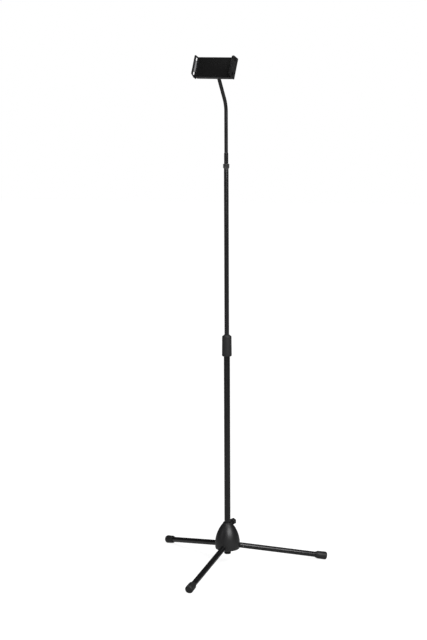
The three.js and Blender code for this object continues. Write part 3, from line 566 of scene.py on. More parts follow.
# ---------------------------------------------------------------------------
# Clamp screw: a moulded knob on a steel screw that presses a brass pad
# against the pole. The knob has six finger lobes and a flat dished face.
# ---------------------------------------------------------------------------


def lobed_knob(name, radius, lobes, depth, low, high, place, blind=None):
    """A knob with finger lobes, narrower at its crown, dished in its face."""
    sides = lobes * 16
    levels = rounded([(1.5, low), (0, low + 1.5), (0, high - 3), (3, high)], 1.6, 4)
    shape = bmesh.new()
    rings = []
    for inset, z in levels:
        ring = []
        for k in range(sides):
            a = 2 * math.pi * k / sides
            reach = radius - inset - depth * (0.5 - 0.5 * math.cos(lobes * a))
            spot = Vector((reach * math.cos(a), reach * math.sin(a), z))
            ring.append(shape.verts.new(place @ spot))
        rings.append(ring)
    for dish, z in ((0.72, high - 0.05), (0.66, high - 0.7)):
        base = rings[-1]
        centre = place @ Vector((0, 0, z))
        lift = centre - place @ Vector((0, 0, high))
        middle = place @ Vector((0, 0, high))
        ring = [shape.verts.new(middle + (v.co - middle) * dish + lift) for v in base]
        rings.append(ring)
    for a, b in zip(rings, rings[1:]):
        for k in range(sides):
            n = (k + 1) % sides
            shape.faces.new([a[k], a[n], b[n], b[k]])
    shape.faces.new(rings[0][::-1])
    shape.faces.new(rings[-1])
    knob = mesh_object(name, shape)
    if blind:
        hole, end = blind
        shaped(knob, cutters=[rod("hole", hole, low - 1, end, place)])
    return smooth(knob, 50)


KNOB_RADIUS = 12
KNOB_START, KNOB_END = 28.6, 46
CLAMP_SCREW_RADIUS = 2.9
CLAMP_SCREW_START, CLAMP_SCREW_END = 13.9, 39
knob_hole = (CLAMP_SCREW_RADIUS + GAP, 39.4)
clamp_knob = lobed_knob(
    "clamp_knob_grip", KNOB_RADIUS, 6, 1.4, KNOB_START, KNOB_END, CLAMP, knob_hole
)
dress(clamp_knob, "clamp_knob", moulded_black, "black_plastic", "lock_knob")
screw = rod(
    "clamp_screw", CLAMP_SCREW_RADIUS, CLAMP_SCREW_START, CLAMP_SCREW_END, CLAMP, 40, 0.6
)
smooth(screw)
dress(screw, "clamp_knob", bare_steel, "bare_steel", "lock_screw")
brass = finish(
    "plain_brass", (0.6, 0.45, 0.2), (0.7, 0.55, 0.3),
    rough=0.32, bump=0.15, fine=1500, metal=1.0, level=0.5,
)
keep("clamp_pad", brass)

# ---------------------------------------------------------------------------
# Legs: round steel tube, powder coated black, each plugged on a cast lug
# that turns on a pin in the hub and held by a rivet. A moulded rubber shoe
# covers the outer end and has worn flat where it meets the floor.
# ---------------------------------------------------------------------------
LEG_WALL = 1.3
LUG_SHOULDER = 15
LEG_END = 335
FOOT_TIP = 343.5
FOOT_LENGTH = 43
FOOT_RADIUS = 14.6
NOSE_RADIUS = 6
RIVET_SPOT = LUG_SHOULDER + 12
RIVET_HOLE = 1.8

tube_paint = finish(
    "black_tube_paint", (0.0065, 0.0065, 0.007), (0.06, 0.06, 0.06),
    rough=0.27, bump=0.015, fine=2200, level=0.42, mix=0.15,
)
shoe_rubber = finish(
    "black_shoe_rubber", (0.016, 0.016, 0.016), (0.04, 0.04, 0.04),
    rough=0.55, bump=0.5, fine=1500, level=0.35,
)


def sweep_tree():
    """Geometry nodes that give every line of a mesh a round section."""
    tree = bpy.data.node_groups.new("round_section_on_line", "GeometryNodeTree")
    add = tree.interface.new_socket
    add("Line", in_out="INPUT", socket_type="NodeSocketGeometry")
    add("Section Radius", in_out="INPUT", socket_type="NodeSocketFloat").default_value = 0.005
    add("Section Sides", in_out="INPUT", socket_type="NodeSocketInt").default_value = 32
    add("Close Ends", in_out="INPUT", socket_type="NodeSocketBool").default_value = False
    add("Finish", in_out="INPUT", socket_type="NodeSocketMaterial")
    add("Solid", in_out="OUTPUT", socket_type="NodeSocketGeometry")
    nodes, links = tree.nodes, tree.links
    given, made = nodes.new("NodeGroupInput"), nodes.new("NodeGroupOutput")
    line = nodes.new("GeometryNodeMeshToCurve")
    circle = nodes.new("GeometryNodeCurvePrimitiveCircle")
    sweep = nodes.new("GeometryNodeCurveToMesh")
    real = nodes.new("GeometryNodeRealizeInstances")
    paint = nodes.new("GeometryNodeSetMaterial")
    links.new(given.outputs["Line"], line.inputs["Mesh"])
    links.new(given.outputs["Section Radius"], circle.inputs["Radius"])
    links.new(given.outputs["Section Sides"], circle.inputs["Resolution"])
    links.new(line.outputs["Curve"], sweep.inputs["Curve"])
    links.new(circle.outputs["Curve"], sweep.inputs["Profile Curve"])
    links.new(given.outputs["Close Ends"], sweep.inputs["Fill Caps"])
    links.new(sweep.outputs["Mesh"], real.inputs["Geometry"])
    links.new(real.outputs["Geometry"], paint.inputs["Geometry"])
    links.new(given.outputs["Finish"], paint.inputs["Material"])
    links.new(paint.outputs["Geometry"], made.inputs["Solid"])
    return tree


def scatter_tree():
    """Geometry nodes that set one head on every point of a mesh, along that point's normal."""
    tree = bpy.data.node_groups.new("heads_on_points", "GeometryNodeTree")
    add = tree.interface.new_socket
    add("Points", in_out="INPUT", socket_type="NodeSocketGeometry")
    add("Head", in_out="INPUT", socket_type="NodeSocketObject")
    add("Head Scale", in_out="INPUT", socket_type="NodeSocketFloat").default_value = 1.0
    add("Turn Spread", in_out="INPUT", socket_type="NodeSocketFloat").default_value = 1.5
    add("Finish", in_out="INPUT", socket_type="NodeSocketMaterial")
    add("Heads", in_out="OUTPUT", socket_type="NodeSocketGeometry")
    nodes, links = tree.nodes, tree.links
    given, made = nodes.new("NodeGroupInput"), nodes.new("NodeGroupOutput")
    head = nodes.new("GeometryNodeObjectInfo")
    place = nodes.new("GeometryNodeInstanceOnPoints")
    way = nodes.new("GeometryNodeInputNamedAttribute")
    way.data_type = "FLOAT_VECTOR"
    way.inputs["Name"].default_value = "way"
    face = nodes.new("FunctionNodeAlignRotationToVector")
    face.axis = "Z"
    chance = nodes.new("FunctionNodeRandomValue")
    chance.inputs["Seed"].default_value = 7
    spin = nodes.new("FunctionNodeRotateRotation")
    spin.rotation_space = "LOCAL"
    turn = nodes.new("FunctionNodeAxisAngleToRotation")
    real = nodes.new("GeometryNodeRealizeInstances")
    paint = nodes.new("GeometryNodeSetMaterial")
    links.new(given.outputs["Head"], head.inputs["Object"])
    links.new(given.outputs["Points"], place.inputs["Points"])
    links.new(head.outputs["Geometry"], place.inputs["Instance"])
    links.new(way.outputs["Attribute"], face.inputs["Vector"])
    links.new(given.outputs["Turn Spread"], chance.inputs[3])
    links.new(chance.outputs[1], turn.inputs["Angle"])
    links.new(face.outputs["Rotation"], spin.inputs["Rotation"])
    links.new(turn.outputs["Rotation"], spin.inputs["Rotate By"])
    links.new(spin.outputs["Rotation"], place.inputs["Rotation"])
    links.new(given.outputs["Head Scale"], place.inputs["Scale"])
    links.new(place.outputs["Instances"], real.inputs["Geometry"])
    links.new(real.outputs["Geometry"], paint.inputs["Geometry"])
    links.new(given.outputs["Finish"], paint.inputs["Material"])
    links.new(paint.outputs["Geometry"], made.inputs["Heads"])
    return tree


def grown(thing, tree, **values):
    """Runs a geometry nodes tree on an object with the named inputs, and keeps the plain mesh."""
    step = thing.modifiers.new("rule", "NODES")
    step.node_group = tree
    named = {s.name: s.identifier for s in tree.interface.items_tree if s.in_out == "INPUT"}
    for name, value in values.items():
        step[named[name.replace("_", " ")]] = value
    return settle(thing)


round_section = sweep_tree()
heads_on_points = scatter_tree()


def line_object(name, points, place):
    mesh = bpy.data.meshes.new(name)
    edges = [(i, i + 1) for i in range(len(points) - 1)]
    mesh.from_pydata([place @ Vector(p) for p in points], edges, [])
    thing = bpy.data.objects.new(name, mesh)
    scene.collection.objects.link(thing)
    return thing


def heads(name, head, spots, material):
    """Copies of one head at (place, way) pairs, as one mesh."""
    mesh = bpy.data.meshes.new(name)
    mesh.from_pydata([place for place, _ in spots], [], [])
    ways = mesh.attributes.new("way", "FLOAT_VECTOR", "POINT")
    for entry, (_, way) in zip(ways.data, spots):
        entry.vector = way
    thing = bpy.data.objects.new(name, mesh)
    scene.collection.objects.link(thing)
    grown(thing, heads_on_points, Head=head, Finish=material)
    return smooth(thing, 40)


ORIGIN = Matrix.Scale(0.001, 4)
rivet_outline = [(0, -1.2), (1.5, -1.2), (1.5, 0.1), (1.3, 0.4), (0, 0.5)]
rivet_head = lathe("rivet_head", rounded(rivet_outline, 0.3), ORIGIN, 32)


def leg_tube(side, leg):
    outline = tube_outline(LEG_RADIUS - LEG_WALL, LEG_RADIUS, LUG_SHOULDER, LEG_END)
    tube = lathe(f"{side}_leg_pipe", outline, leg @ ALONG_X, 64, 0.35, True)
    hole = Matrix.Translation((RIVET_SPOT, 0, 0)) @ Matrix.Rotation(math.radians(90), 4, "X")
    drill = rod("drill", RIVET_HOLE, -20, 20, leg @ hole, 24)
    shaped(tube, cutters=[drill])
    dress(smooth(tube), f"{side}_leg", tube_paint, "black_steel", f"{side}_leg_tube")


def leg_shoe(side, leg):
    start = FOOT_TIP - FOOT_LENGTH
    bore = LEG_RADIUS + GAP
    nose = []
    for degrees in range(90, 8, -9):
        a = math.radians(degrees)
        reach = FOOT_RADIUS - NOSE_RADIUS + NOSE_RADIUS * math.sin(a)
        nose.append((reach, FOOT_TIP - 6.5 + NOSE_RADIUS * math.cos(a)))
    outline = [
        (0, LEG_END + GAP),
        (bore, LEG_END + GAP),
        (bore, start),
        (bore + 0.9, start),
        (FOOT_RADIUS - 2.2, start + 4),
        (FOOT_RADIUS - 0.7, start + 8),
        (FOOT_RADIUS - 0.35, start + 22),
        *nose,
        (FOOT_RADIUS - 7.3, FOOT_TIP - 0.1),
        (FOOT_RADIUS - 8, FOOT_TIP - 0.9),
        (0, FOOT_TIP - 1.1),
    ]
    shoe = lathe(f"{side}_shoe", rounded(outline, 0.6, 2), leg @ ALONG_X, 96)
    for vertex in shoe.data.vertices:
        vertex.co.y = min(vertex.co.y, cad_box[1][1])
        vertex.co.z = max(vertex.co.z, 0)
    dress(smooth(shoe), f"{side}_leg", shoe_rubber, "rubber", f"{side}_foot")


def leg_rivet(side, leg):
    turn = leg.to_3x3().normalized()
    spots = []
    for face in (-1, 1):
        place = leg @ Vector((RIVET_SPOT, face * LEG_RADIUS, 0))
        spots.append((place, turn @ Vector((0, face, 0))))
    pair = heads(f"{side}_rivet_heads", rivet_head, spots, bare_steel)
    dress(pair, f"{side}_leg", bare_steel, "bare_steel")
    keep(f"{side}_leg_rivet", bare_steel)


for side, azimuth in LEG_AZIMUTHS.items():
    leg = on_leg(azimuth)
    lug = refined(f"{side}_lug", f"{side}_leg_lug", 0.25)
    dress(lug, f"{side}_leg", cast_paint, "black_casting", f"{side}_leg_lug")
    leg_tube(side, leg)
    leg_rivet(side, leg)
    leg_shoe(side, leg)
bpy.data.objects.remove(rivet_head)

# ---------------------------------------------------------------------------
# Pole: two drawn steel tubes, powder coated black. The lower one has a
# moulded plug in its foot, and the upper one slides in it.
# ---------------------------------------------------------------------------
LOWER_WALL = 1.5
LOWER_TOP = 800
UPPER_RADIUS = 8.25
UPPER_WALL = 1.2
UPPER_BOTTOM, UPPER_TOP = 690, 1424
CAP_BOTTOM = 39


def pole_tube(part, radius, wall, low, high):
    outline = tube_outline(radius - wall, radius, low, high)
    tube = lathe(f"{part}_pipe", outline, sides=72, radius=0.4, closed=True)
    dress(smooth(tube), f"{part}_pole", tube_paint, "black_steel", f"{part}_tube")


pole_tube("lower", LOWER_RADIUS, LOWER_WALL, LOWER_BOTTOM, LOWER_TOP)
pole_tube("upper", UPPER_RADIUS, UPPER_WALL, UPPER_BOTTOM, UPPER_TOP)

plug = LOWER_RADIUS - LOWER_WALL - GAP
cap_outline = [
    (0, CAP_BOTTOM + 0.8),
    (6.5, CAP_BOTTOM + 0.8),
    (7.5, CAP_BOTTOM),
    (LOWER_RADIUS, CAP_BOTTOM),
    (LOWER_RADIUS + 1.3, CAP_BOTTOM + 1.3),
    (LOWER_RADIUS + 1.3, CAP_BOTTOM + 4),
    (LOWER_RADIUS + 0.6, LOWER_BOTTOM - GAP),
    (plug, LOWER_BOTTOM - GAP),
    (plug, LOWER_BOTTOM + 14),
    (0, LOWER_BOTTOM + 14),
]
end_cap = lathe("pole_end_plug", cap_outline, sides=72, radius=0.7)
dress(smooth(end_cap), "lower_pole", moulded_black, "black_plastic", "tube_end_cap")
keep("tube_guide", moulded_black)

# ---------------------------------------------------------------------------
# Twist clutch: a nylon socket on the lower tube squeezes a split collet
# onto the upper one when the sleeve round them is turned. The sleeve wears
# a soft overmoulded grip, a little wider at its foot.
# ---------------------------------------------------------------------------
CLUTCH_BOTTOM, CLUTCH_TOP = 763.5, 840.5
grip_rubber = finish(
    "soft_grip_rubber", (0.021, 0.021, 0.0215), (0.05, 0.05, 0.05),
    rough=0.5, bump=0.55, fine=1700, level=0.3,
)
grip_outline = [
    (LOWER_RADIUS + 0.5, CLUTCH_BOTTOM),
    (15.6, CLUTCH_BOTTOM),
    (17.0, CLUTCH_BOTTOM + 1.2),
    (17.5, CLUTCH_BOTTOM + 4),
    (17.5, CLUTCH_BOTTOM + 8),
    (16.8, CLUTCH_TOP - 7),
    (16.2, CLUTCH_TOP - 5.2),
    (UPPER_RADIUS + 2, CLUTCH_TOP),
    (UPPER_RADIUS + 0.4, CLUTCH_TOP),
    (UPPER_RADIUS + 0.4, CLUTCH_TOP - 4),
    (15.5, CLUTCH_TOP - 4),
    (15.5, CLUTCH_BOTTOM + 1.7),
    (LOWER_RADIUS + 0.5, CLUTCH_BOTTOM + 1.7),
]
grip = lathe("clutch_sleeve", grip_outline, sides=96, radius=0.5, closed=True)
dress(smooth(grip), "clutch_ring", grip_rubber, "rubber", "clutch_grip")
for node in ("clutch_body", "clutch_collet", "clutch_nut"):
    keep(node, moulded_black)

# ---------------------------------------------------------------------------
# Neck: a bent steel tube in a threaded collar, screwed onto the stud of the
# upper tube and locked by a hexagon nut. Its top end carries a flat tongue.
# ---------------------------------------------------------------------------
NUT_BOTTOM, NUT_TOP = 1429, 1446
NUT_ACROSS_FLATS = 20.5
COLLAR_TOP = 1483.5
STUD_RADIUS = 4.75
NECK_TURN = math.radians(-7.5)
NECK_BEND = math.radians(29.5)
NECK_RADIUS = 6.35
NECK_WALL = 1.2
NECK_CORNER = 1650.7
BEND_RADIUS = 91
NECK_REACH = 118
KNUCKLE_LENGTH = 17
EYE_RADIUS, EYE_HALF = 6.2, 3.3
PIN_HOLE = 2.7
NECK = POLE @ Matrix.Rotation(NECK_TURN, 4, "Z")

nut_paint = finish(
    "black_nut_paint", (0.024, 0.024, 0.025), (0.12, 0.12, 0.12),
    rough=0.36, bump=0.25, fine=1500, level=0.6,
)

stud_outline = [
    (0, UPPER_TOP - 25),
    (UPPER_RADIUS - UPPER_WALL - GAP, UPPER_TOP - 25),
    (UPPER_RADIUS - UPPER_WALL - GAP, UPPER_TOP + GAP),
    (UPPER_RADIUS, UPPER_TOP + GAP),
    (UPPER_RADIUS, NUT_BOTTOM - GAP),
    (STUD_RADIUS, NUT_BOTTOM - GAP),
    (STUD_RADIUS, NUT_TOP + 18),
    (0, NUT_TOP + 18),
]
stud = lathe("neck_stud", stud_outline, sides=64, radius=0.4)
dress(smooth(stud), "upper_pole", nut_paint, "black_steel", "thread_stud")


def hexagon(radius):
    """The six corners of a hexagon, radius from its middle."""
    return [
        (radius * math.cos(k * math.pi / 3), radius * math.sin(k * math.pi / 3)) for k in range(6)
    ]


nut_corner = NUT_ACROSS_FLATS / 2 / math.cos(math.pi / 6)
nut = prism("hexagon_nut", hexagon(nut_corner), NUT_BOTTOM, NUT_TOP, POLE)
nut_turned = [
    (0, NUT_BOTTOM),
    (8.6, NUT_BOTTOM),
    (11.7, NUT_BOTTOM + 4),
    (11.9, NUT_TOP - 1.2),
    (10.4, NUT_TOP),
    (0, NUT_TOP),
]
shaped(nut, common=[lathe("chamfers", nut_turned, sides=96)])
shaped(nut, cutters=[rod("nut_bore", STUD_RADIUS + GAP, NUT_BOTTOM - 1, NUT_TOP + 1, POLE, 48)])
dress(softened(nut, 0.35), "jam_nut", nut_paint, "black_steel", "lock_nut")

step = NUT_TOP + 20
collar_outline = [
    (STUD_RADIUS + GAP, NUT_TOP + GAP),
    (7.0, NUT_TOP + GAP),
    (7.5, NUT_TOP + 1),
    (7.5, COLLAR_TOP - 0.8),
    (7.0, COLLAR_TOP),
    (NECK_RADIUS + 0.15, COLLAR_TOP),
    (NECK_RADIUS + 0.15, step),
    (STUD_RADIUS + GAP, step),
]
collar = lathe("neck_socket", collar_outline, NECK, 64, 0.25, True)
dress(smooth(collar), "neck", tube_paint, "black_steel", "neck_collar")


def neck_point(distance):
    """The point of the neck's bent end at distance from the corner of its two straight lines."""
    rise = NECK_CORNER + distance * math.cos(NECK_BEND)
    return Vector((0, -distance * math.sin(NECK_BEND), rise))


def neck_line():
    tangent = BEND_RADIUS * math.tan(NECK_BEND / 2)
    steps = 24
    points = [Vector((0, 0, step + GAP))]
    for k in range(steps + 1):
        a = NECK_BEND * k / steps
        rise = NECK_CORNER - tangent + BEND_RADIUS * math.sin(a)
        points.append(Vector((0, -BEND_RADIUS * (1 - math.cos(a)), rise)))
    points.append(neck_point(NECK_REACH - KNUCKLE_LENGTH))
    return points


neck_pipe = line_object("neck_pipe", neck_line(), NECK)
neck_section = {"Section_Radius": NECK_RADIUS / 1000, "Section_Sides": 64, "Finish": tube_paint}
grown(neck_pipe, round_section, **neck_section)
wall = neck_pipe.modifiers.new("wall", "SOLIDIFY")
wall.thickness = NECK_WALL / 1000
wall.offset = -1
dress(smooth(settle(neck_pipe), 30), "neck", tube_paint, "black_steel", "neck_tube")

TONGUE = NECK @ Matrix.Translation(neck_point(NECK_REACH)) @ Matrix.Rotation(NECK_BEND, 4, "X")
tongue_outline = [
    (0, -31),
    (4.85, -31),
    (4.85, -16.7),
    (NECK_RADIUS, -16.7),
    (NECK_RADIUS, -11),
    (0, -11),
]
tongue = lathe("neck_tongue", tongue_outline, TONGUE, 64, 0.3)
eye = rod("eye", EYE_RADIUS, -EYE_HALF, EYE_HALF, TONGUE @ ALONG_X, 64)
web = block("web", (-EYE_HALF, EYE_HALF), (-EYE_RADIUS, EYE_RADIUS), (-12, 0), TONGUE)
shaped(tongue, joined=[eye, web])
shaped(tongue, cutters=[rod("pin_hole", PIN_HOLE, -10, 10, TONGUE @ ALONG_X, 40)])
dress(smooth(tongue, 30), "neck", cast_paint, "black_casting", "neck_knuckle")

# ---------------------------------------------------------------------------
# Tilt joint: a cast bracket whose two ears hold the neck's tongue with a
# bolt and a ribbed knob. The holder turns on the bracket's round plate.
# ---------------------------------------------------------------------------
HOLDER_TILT = math.radians(-19)
HEAD = NECK @ Matrix.Translation(neck_point(NECK_REACH)) @ Matrix.Rotation(HOLDER_TILT, 4, "X")
ALONG_Y = Matrix.Rotation(math.radians(-90), 4, "X")
HOLDER_MIDDLE = 14
BACK_FACE, FRONT_FACE = -13, -32
EAR_INNER, EAR_OUTER, EAR_RADIUS = 3.7, 6.9, 6.4
PLATE_RADIUS = 17
BOLT_CORNER, BOLT_RADIUS, BOLT_HEAD = 4.62, 2.4, 3.4

plate_span = (BACK_FACE + GAP, BACK_FACE + 3)
plate = rod("tilt_plate", PLATE_RADIUS, *plate_span, HEAD @ ALONG_Y, 96, 0.6)
ears = []
for sign in (-1, 1):
    span = sorted((sign * EAR_INNER, sign * EAR_OUTER))
    ears.append(rod("ear", EAR_RADIUS, *span, HEAD @ ALONG_X, 48))
    ears.append(block("ear_root", span, (BACK_FACE + 2, 0), (-EAR_RADIUS, EAR_RADIUS), HEAD))
shaped(plate, joined=ears)
seat = [(0, -1), (2.2, -1), (2.2, 1.2), (3.8, 2.8), (3.8, 4), (0, 4)]
pin_bore = rod("pin_bore", PIN_HOLE, -10, 10, HEAD @ ALONG_X, 40)
seat_hole = lathe("seat", seat, HEAD @ Matrix.Translation((0, BACK_FACE, 0)) @ ALONG_Y, 40)
shaped(plate, cutters=[pin_bore, seat_hole])
dress(smooth(plate, 30), "tilt_head", cast_paint, "black_casting", "tilt_bracket")

bolt_head = (-EAR_OUTER - GAP - BOLT_HEAD, -EAR_OUTER - GAP)
bolt = prism("tilt_bolt_steel", hexagon(BOLT_CORNER), *bolt_head, HEAD @ ALONG_X)
shank = rod("shank", BOLT_RADIUS, -EAR_OUTER - 1, EAR_OUTER + 9, HEAD @ ALONG_X, 40)
shaped(bolt, joined=[shank])
dress(softened(bolt, 0.2), "tilt_head", bare_steel, "bare_steel", "tilt_bolt")
for node in ("swivel_screw", "swivel_nut"):
    keep(node, bare_steel)

knob_span = (EAR_OUTER + GAP, EAR_OUTER + 12)
knob_hole = (PIN_HOLE, EAR_OUTER + 9.4)
tilt_knob = lobed_knob("tilt_knob_grip", 9, 12, 0.9, *knob_span, HEAD @ ALONG_X, knob_hole)
dress(tilt_knob, "wing_knob", moulded_black, "black_plastic", "tilt_knob")

# ---------------------------------------------------------------------------
# Holder body: a moulded tray at the back and a smooth cover in front, held
# together by four screws from behind. A thin rubber mat lies sunk in the
# cover so that the tablet doesn't slide or rattle.
# ---------------------------------------------------------------------------
BODY_HALF = 72
HOLDER_ROLL = math.radians(2.3)
HOLDER = HEAD @ Matrix.Rotation(HOLDER_ROLL, 4, "Y")
BODY_TOP, BODY_BOTTOM = HOLDER_MIDDLE + 36, HOLDER_MIDDLE - 36
BODY_WALL = 2.5
COVER_BACK = FRONT_FACE + 3.2
ARM_BACK, ARM_FRONT = -21, -25
ARM_OUTER = 22
ROD_HEIGHT = 27.5
ROD_RADIUS = 2
MAT_HALF, MAT_LOW, MAT_HIGH = 67, BODY_BOTTOM + 4, BODY_TOP - 4
PITCH_RADIUS = 7
DOOR_GAP = 0.4
SCREW_BORE = 1.7
screw_spots = [(-55, ROD_HEIGHT), (-15, ROD_HEIGHT), (55, -ROD_HEIGHT), (15, -ROD_HEIGHT)]


def plate_outline(half, low, high, corner):
    """A rectangle in local X and Z with rounded corners."""
    corners = [(-half, low), (half, low), (half, high), (-half, high)]
    return rounded(corners, corner, 5, closed=True)


def slab(name, half, low, high, corner, front, rear):
    """A plate that lies across the holder, from front to rear in local Y."""
    turn = HOLDER @ Matrix.Rotation(math.radians(90), 4, "X")
    return prism(name, plate_outline(half, low, high, corner), -rear, -front, turn)


def cross_bore(radius, low, high, x, z, sides=32):
    place = HOLDER @ Matrix.Translation((x, 0, HOLDER_MIDDLE + z)) @ ALONG_Y
    return rod("bore", radius, low, high, place, sides)


def rod_line(side):
    """Local Z runs along a guide rod, above the middle of the holder or below it."""
    height = HOLDER_MIDDLE + side * ROD_HEIGHT
    return HOLDER @ Matrix.Translation((0, (ARM_BACK + ARM_FRONT) / 2, height)) @ ALONG_X


def holder_tray():
    inner = BODY_HALF - BODY_WALL
    floor = BACK_FACE - BODY_WALL
    tray = slab("holder_tray", BODY_HALF, BODY_BOTTOM, BODY_TOP, 3, COVER_BACK + GAP, BACK_FACE)
    low, high = BODY_BOTTOM + BODY_WALL, BODY_TOP - BODY_WALL
    cuts = [slab("hollow", inner, low, high, 1, COVER_BACK - 1, floor)]
    for side in (-1, 1):
        span = sorted((side * (inner - 1), side * (BODY_HALF + 1)))
        edges = (ARM_OUTER + DOOR_GAP, PITCH_RADIUS + 0.8)
        heights = sorted(HOLDER_MIDDLE - side * edge for edge in edges)
        depth = (ARM_FRONT - DOOR_GAP, ARM_BACK + DOOR_GAP)
        cuts.append(block("arm_door", span, depth, heights, HOLDER))
        cuts.append(rod("rod_door", ROD_RADIUS + DOOR_GAP, *span, rod_line(side)))
    for x, z in screw_spots:
        cuts.append(cross_bore(3.1, BACK_FACE - 1.6, BACK_FACE + 1, x, z))
        cuts.append(cross_bore(SCREW_BORE, floor - 1, BACK_FACE + 1, x, z, 24))
    cuts.append(cross_bore(SCREW_BORE, floor - 1, BACK_FACE + 1, 0, 0, 24))
    cuts.append(cross_bore(2.1, floor - 1, BACK_FACE + 1, 0, -HOLDER_MIDDLE, 24))
    return softened(shaped(tray, cutters=cuts), 0.8, 50)


def holder_cover():
    cover = slab("holder_cover", BODY_HALF, BODY_BOTTOM, BODY_TOP, 3, FRONT_FACE, COVER_BACK)
    low, high = MAT_LOW - GAP, MAT_HIGH + GAP
    field = slab("field", MAT_HALF + GAP, low, high, 2, FRONT_FACE - 1, FRONT_FACE + 1)
    return softened(shaped(cover, cutters=[field]), 0.5, 50, 3)


cover_plastic = finish(
    "smooth_cover_plastic", (0.0055, 0.0055, 0.006), (0.03, 0.03, 0.03),
    rough=0.36, bump=0.1, fine=1200, level=0.2,
)
mat_rubber = finish(
    "mat_rubber", (0.006, 0.006, 0.006), (0.02, 0.02, 0.02),
    rough=0.66, bump=0.14, fine=2400, level=0.1,
)
dress(holder_tray(), "holder", moulded_black, "black_plastic", "holder_back")
dress(holder_cover(), "holder", cover_plastic, "gloss_plastic", "holder_front")
mat = slab("face_mat_sheet", MAT_HALF, MAT_LOW, MAT_HIGH, 1.8, FRONT_FACE, FRONT_FACE + 0.7)
dress(softened(mat, 0.25), "holder", mat_rubber, "rubber", "face_mat")

screw_outline = [(0, -12), (1.3, -12), (1.3, -1.3), (2.8, -1.3), (2.8, -0.6), (2, -0.2), (0, -0.2)]
cover_screw = lathe("cover_screw", screw_outline, ORIGIN, 32)
long, short = (-1.5, 1.5), (-0.28, 0.28)
recess = [block("recess", a, b, (-1.0, 1), ORIGIN) for a, b in ((long, short), (short, long))]
shaped(cover_screw, cutters=recess)
outward = (HOLDER.to_3x3() @ Vector((0, 1, 0))).normalized()
spots = [(HOLDER @ Vector((x, BACK_FACE, HOLDER_MIDDLE + z)), outward) for x, z in screw_spots]
screws = heads("cover_screws", cover_screw, spots, bare_steel)
dress(screws, "holder", bare_steel, "bare_steel", *[f"cover_screw_{n}" for n in range(1, 5)])
bpy.data.objects.remove(cover_screw)

# ---------------------------------------------------------------------------
# Jaws: two moulded hooks with a window near each end and a grey rubber pad
# between. Their toothed arms run over a pinion in the holder, so that they
# move together, and a flat spiral spring draws them in.
# ---------------------------------------------------------------------------
JAW_FRONT, JAW_BACK = -48.5, -14
JAW_HALF_WIDTH = 77
JAW_HALF_HEIGHT = 37.5
WINDOW_SPOTS = (27, -24.5)
WINDOW_SIZE = 12
JAW_WALL = 3.2
ARM_LENGTH = 40
RACK_TEETH = 13
RACK_PITCH = math.pi
BACKLASH = 0.3

jaw_plastic = finish(
    "jaw_plastic", (0.0085, 0.0085, 0.009), (0.04, 0.04, 0.04),
    rough=0.42, bump=0.1, fine=1800, level=0.3,
)
pad_rubber = finish(
    "grey_pad_rubber", (0.22, 0.22, 0.225), (0.26, 0.26, 0.26),
    rough=0.7, bump=0.5, fine=1500, level=0.2,
)


def rack_outline(side):
    slope = math.tan(math.radians(20))
    tip, root = 0.8, 1.2
    half = RACK_PITCH / 4 - BACKLASH / 2
    near, far = PITCH_RADIUS - tip, PITCH_RADIUS + root
    points = []
    for k in range(RACK_TEETH):
        x = k * RACK_PITCH
        points += [(x - half - root * slope, far), (x - half + tip * slope, near)]
        points += [(x + half - tip * slope, near), (x + half + root * slope, far)]
    root_end = -JAW_HALF_WIDTH + 1
    points += [(ARM_LENGTH, far), (ARM_LENGTH, ARM_OUTER), (root_end, ARM_OUTER), (root_end, far)]
    return [(-side * x, HOLDER_MIDDLE - side * z) for x, z in points]


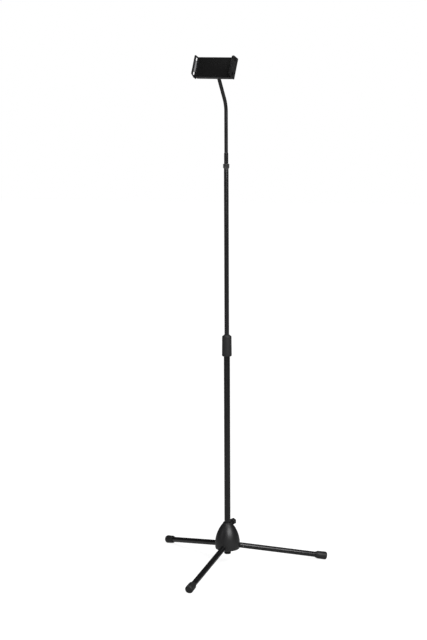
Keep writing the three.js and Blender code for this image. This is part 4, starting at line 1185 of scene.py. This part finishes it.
def jaw(name, side):
    outer = side * JAW_HALF_WIDTH
    inner = side * (JAW_HALF_WIDTH - JAW_WALL)
    top, bottom = HOLDER_MIDDLE + JAW_HALF_HEIGHT, HOLDER_MIDDLE - JAW_HALF_HEIGHT
    profile = [
        (JAW_BACK, bottom),
        (JAW_BACK, top),
        (JAW_FRONT + 2, top),
        (JAW_FRONT, top - 2),
        (JAW_FRONT, bottom + 7),
        (JAW_FRONT + 19, bottom),
    ]
    across = HOLDER @ Matrix(((0, 0, 1, 0), (1, 0, 0, 0), (0, 1, 0, 0), (0, 0, 0, 1)))
    profile = rounded(profile, 1.2, 3, closed=True)
    hook = prism(f"{name}_hook", profile, *sorted((outer, inner)), across)
    lip_span = sorted((outer, side * (JAW_HALF_WIDTH - JAW_WALL - 3.5)))
    lip = block("lip", lip_span, (JAW_FRONT, JAW_FRONT + 3), (bottom + 9, top - 2), HOLDER)
    shaped(hook, joined=[lip])
    windows = []
    depth = (JAW_FRONT + 8.5, JAW_FRONT + 8.5 + WINDOW_SIZE)
    for z in WINDOW_SPOTS:
        low = HOLDER_MIDDLE + z - WINDOW_SIZE / 2
        span = sorted((outer + side, inner - side * 0.5))
        windows.append(block("window", span, depth, (low, low + WINDOW_SIZE), HOLDER))
    shaped(hook, cutters=windows)
    dress(softened(hook, 0.6), f"{name}_grip", jaw_plastic, "black_plastic", f"{name}_jaw")
    turn = HOLDER @ Matrix.Rotation(math.radians(90), 4, "X")
    arm = softened(prism(f"{name}_rack_arm", rack_outline(side), -ARM_BACK, -ARM_FRONT, turn), 0.12)
    dress(arm, f"{name}_grip", jaw_plastic, "black_plastic")


def guide_rod(name, side):
    ends = sorted((side * (JAW_HALF_WIDTH - 1.5), side * 8))
    guide = rod(f"{name}_rod", ROD_RADIUS, *ends, rod_line(side), 32, 0.4)
    dress(smooth(guide), f"{name}_grip", bare_steel, "bare_steel", f"{name}_guide_rod")


def jaw_pad(name, side):
    """A rubber pad with shallow ribs across it."""
    low, high = HOLDER_MIDDLE - 19, HOLDER_MIDDLE + 19
    base = side * (JAW_HALF_WIDTH - JAW_WALL - GAP)
    ribs = 12
    outline = [(base, low), (base, high)]
    for k in range(ribs, -1, -1):
        z = low + (high - low) * k / ribs
        outline.append((side * (JAW_HALF_WIDTH - JAW_WALL - 2.5), z))
        if k:
            outline.append((side * (JAW_HALF_WIDTH - JAW_WALL - 1.9), z - (high - low) / ribs / 2))
    turn = HOLDER @ Matrix.Rotation(math.radians(90), 4, "X")
    pad = prism(f"{name}_pad", outline, -(FRONT_FACE - 1), -(JAW_FRONT + 3 + GAP), turn)
    dress(softened(pad, 0.15), f"{name}_grip", pad_rubber, "grey_rubber", f"{name}_jaw_pad")


for name, side in (("left", -1), ("right", 1)):
    jaw(name, side)
    guide_rod(name, side)
    jaw_pad(name, side)
keep("pinion", moulded_black)
keep("pinion_axle", bare_steel)
keep("return_spring", bare_steel)
